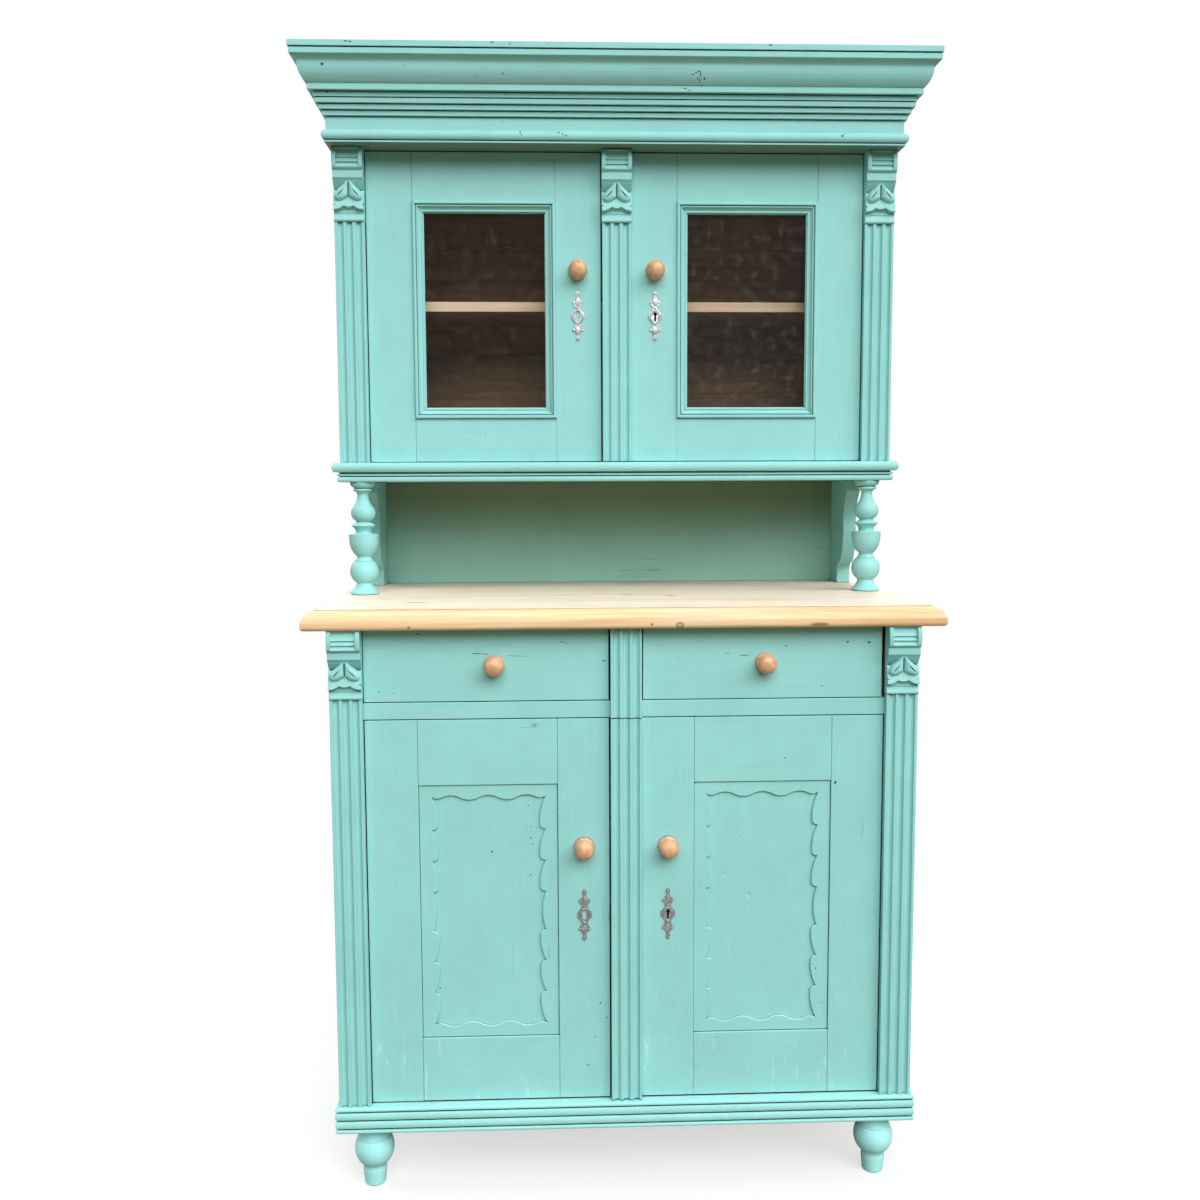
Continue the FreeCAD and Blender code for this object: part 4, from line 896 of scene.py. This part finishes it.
def corbel_master():
    """One carved corbel with its top at the origin: scooped scroll, band, two leaves, skirt and necking."""
    half = CORBEL_WIDE / 2
    body, _ = merged_copy("hutch_corbels", "corbel_master")
    with editing(body):
        select_faces(body, lambda middle, normal: middle.x < 0)
        bpy.ops.mesh.delete(type="FACE")
        bpy.ops.mesh.select_all(action="SELECT")
        bpy.ops.transform.translate(value=(half - hutch_high.x, -hutch_high.y, -hutch_high.z))
    scoops = [(-60, -2.6), (-22.8, -2.6), (-23.2, -7.5), (-24.2, -12.5), (-25.8, -16.6), (-27.2, -18.4),
              (-24.0, -19.0), (-24.4, -21.8), (-25.8, -24.9), (-27.9, -26.7),
              (-24.4, -27.3), (-24.9, -30.2), (-26.4, -33.3), (-28.2, -35.2), (-60, -35.2)]
    cut(body, long_moulding(scoops, 20 * MM))
    under_scroll = [(-60, -35.4), (-28.8, -35.4), (-23, -41.2), (-60, -41.2)]
    hollow = [(-60, -53), (-23.2, -53), (-7, -74), (-6, -80), (-6, -96), (-13.4, -104), (-13.2, -112),
              (-60, -112)]
    for outline in (under_scroll, hollow):
        cut(body, long_moulding(outline, 2 * half))
    lip = [(-4, -114), (-13.2, -114), (-14.6, -120), (-16, -123.4), (-16, -126.2), (-14.4, -127.9),
           (-4, -127.9)]
    parts = [leaf(side) for side in (-1, 1)]
    parts.append(long_moulding(lip, half))
    parts.append(petal(0, 14 * MM, 11.4 * MM, -93.8 * MM, 15))
    for side in (-1, 1):
        tongue = petal(side * 27 * MM, 22 * MM, 17.6 * MM, -92.2 * MM, 13)
        trim = block((-half, -80 * MM, -corbel_high), (half, 0, 0))
        apply_modifier(tongue, "BOOLEAN", operation="INTERSECT", object=trim, solver="EXACT")
        remove(trim)
        cut(tongue, dome("notch", (side * half, -18 * MM, -99.6 * MM), (3.4 * MM, 6 * MM, 0.9 * MM)))
        parts.append(tongue)
    join(body, *parts)
    apply_modifier(body, "REMESH", mode="VOXEL", voxel_size=0.5 * MM)
    apply_modifier(body, "SMOOTH", factor=0.5, iterations=2)
    apply_modifier(body, "DECIMATE", ratio=0.22)
    smooth(body, 60)
    body.data.materials.clear()
    body.data.materials.append(PAINT["z"])
    return body


def place_corbel(master, name, node, x, face, foot, top):
    """A copy of the corbel at its place, stretched between two levels."""
    piece = another(master, name)
    piece.location = (x, face, top)
    piece.scale = (1, 1, (top - foot) / corbel_high)
    settle(piece)
    return stands_for(piece, node)


corbel = corbel_master()
for side, word in ((-1, "left"), (1, "right")):
    place_corbel(corbel, f"hutch_corbel_{word}", "hutch_corbels", side * hutch_aside, HUTCH_FACE,
                 hutch_low.z, hutch_high.z)
    place_corbel(corbel, f"base_corbel_{word}", "base_corbels", side * base_aside, BASE_FACE,
                 base_low.z, base_high.z)

# The middle corbel and the flutes below it are one frame node on the right upper door
strip = eased("upper_door_right_strip", PAINT, FLUTE_EASE)
with editing(strip):
    select_faces(strip, lambda middle, normal: middle.z > hutch_low.z + 0.2 * MM)
    bpy.ops.mesh.delete(type="FACE")
place_corbel(corbel, "upper_door_right_corbel", "upper_door_right_strip", 0, HUTCH_FACE,
             hutch_low.z, strip_top)
remove(corbel)


# Floor, light and camera


def stage():
    """A plain pale floor that fades to white away from the dresser."""
    bpy.ops.object.select_all(action="DESELECT")
    bpy.ops.mesh.primitive_circle_add(vertices=96, radius=9, fill_type="NGON", location=(0, 0, 0))
    floor = bpy.context.object
    floor.name = "pale_floor"
    material, place = new_finish("pale_floor")
    near = place.spot((0, 0, 0), (1, 1, 1))
    speckle = place.noise(30, 2)
    white = place.node("Emission", {}, {"Color": colour(1, 1, 1), "Strength": 1.0})
    seen = place.seen_rays()
    pale = speckle.tint(colour(0.84, 0.84, 0.83), colour(0.88, 0.88, 0.87))
    diffuse = place.node("BsdfDiffuse", {}, {"Color": seen.tint(colour(0.17, 0.13, 0.075), pale)})
    fade = place.node("MixShader", {}, {0: seen * near.ramp(0.6, 2.2, 0.62, 1.0), 1: diffuse, 2: white})
    place.node("OutputMaterial", {}, {"Surface": fade})
    floor.data.materials.append(material)


def soft_sun(name, elevation, aside, strength, spread, tone=(1.0, 1.0, 1.0)):
    """Even light from a wide part of the sky, some degrees up and to the right of the front."""
    level = math.radians(elevation)
    turn = math.radians(aside)
    towards = Vector((math.cos(level) * math.sin(turn), -math.cos(level) * math.cos(turn), math.sin(level)))
    bpy.ops.object.select_all(action="DESELECT")
    bpy.ops.object.light_add(type="SUN", location=towards * 4)
    lamp = bpy.context.object
    lamp.name = name
    lamp.data.energy = strength
    lamp.data.angle = math.radians(spread)
    lamp.data.color = tone
    lamp.rotation_euler = (-towards).to_track_quat("-Z", "Y").to_euler()


def sky(strength):
    """Even light all round, which the camera and reflections see as white."""
    world = bpy.data.worlds.new("studio")
    bpy.context.scene.world = world
    world.use_nodes = True
    world.node_tree.nodes.clear()
    shade = Shade(world.node_tree)
    seen = shade.seen_rays()
    dim = shade.node("Background", {}, {"Color": colour(0.93, 0.98, 1.0), "Strength": strength})
    white = shade.node("Background", {}, {"Color": colour(1, 1, 1), "Strength": 1.0})
    mixed = shade.node("MixShader", {}, {0: seen, 1: dim, 2: white})
    shade.node("OutputWorld", {}, {"Surface": mixed})


def camera():
    """A phone held at chest height, a little left of the middle and tipped down."""
    ahead = Vector((math.sin(CAMERA_YAW), math.cos(CAMERA_YAW), 0))
    level = Vector((math.cos(CAMERA_YAW), -math.sin(CAMERA_YAW), 0))
    up = Vector((0, 0, 1))
    look = ahead * math.cos(CAMERA_PITCH) + up * math.sin(CAMERA_PITCH)
    tipped = up * math.cos(CAMERA_PITCH) - ahead * math.sin(CAMERA_PITCH)
    right = level * math.cos(CAMERA_ROLL) + tipped * math.sin(CAMERA_ROLL)
    crown = tipped * math.cos(CAMERA_ROLL) - level * math.sin(CAMERA_ROLL)
    bpy.ops.object.select_all(action="DESELECT")
    bpy.ops.object.camera_add(location=(0, 0, 0))
    eye = bpy.context.object
    eye.data.lens = CAMERA_LENS
    eye.data.sensor_width = CAMERA_SENSOR
    turned = Matrix((right, crown, -look)).transposed().to_4x4()
    eye.matrix_world = Matrix.Translation(CAMERA_PLACE) @ turned
    bpy.context.scene.camera = eye


stage()
sky(0.03)
soft_sun("front_light", elevation=38, aside=0, strength=2.26, spread=43)
soft_sun("right_light", elevation=38, aside=50, strength=2.10, spread=43)
soft_sun("top_light", elevation=88, aside=0, strength=0.92, spread=24, tone=(1.0, 0.99, 0.97))
soft_sun("left_light", elevation=30, aside=-110, strength=1.2, spread=40)
soft_sun("back_light", elevation=35, aside=180, strength=1.6, spread=60)
camera()
bpy.context.scene.view_settings.view_transform = "Standard"
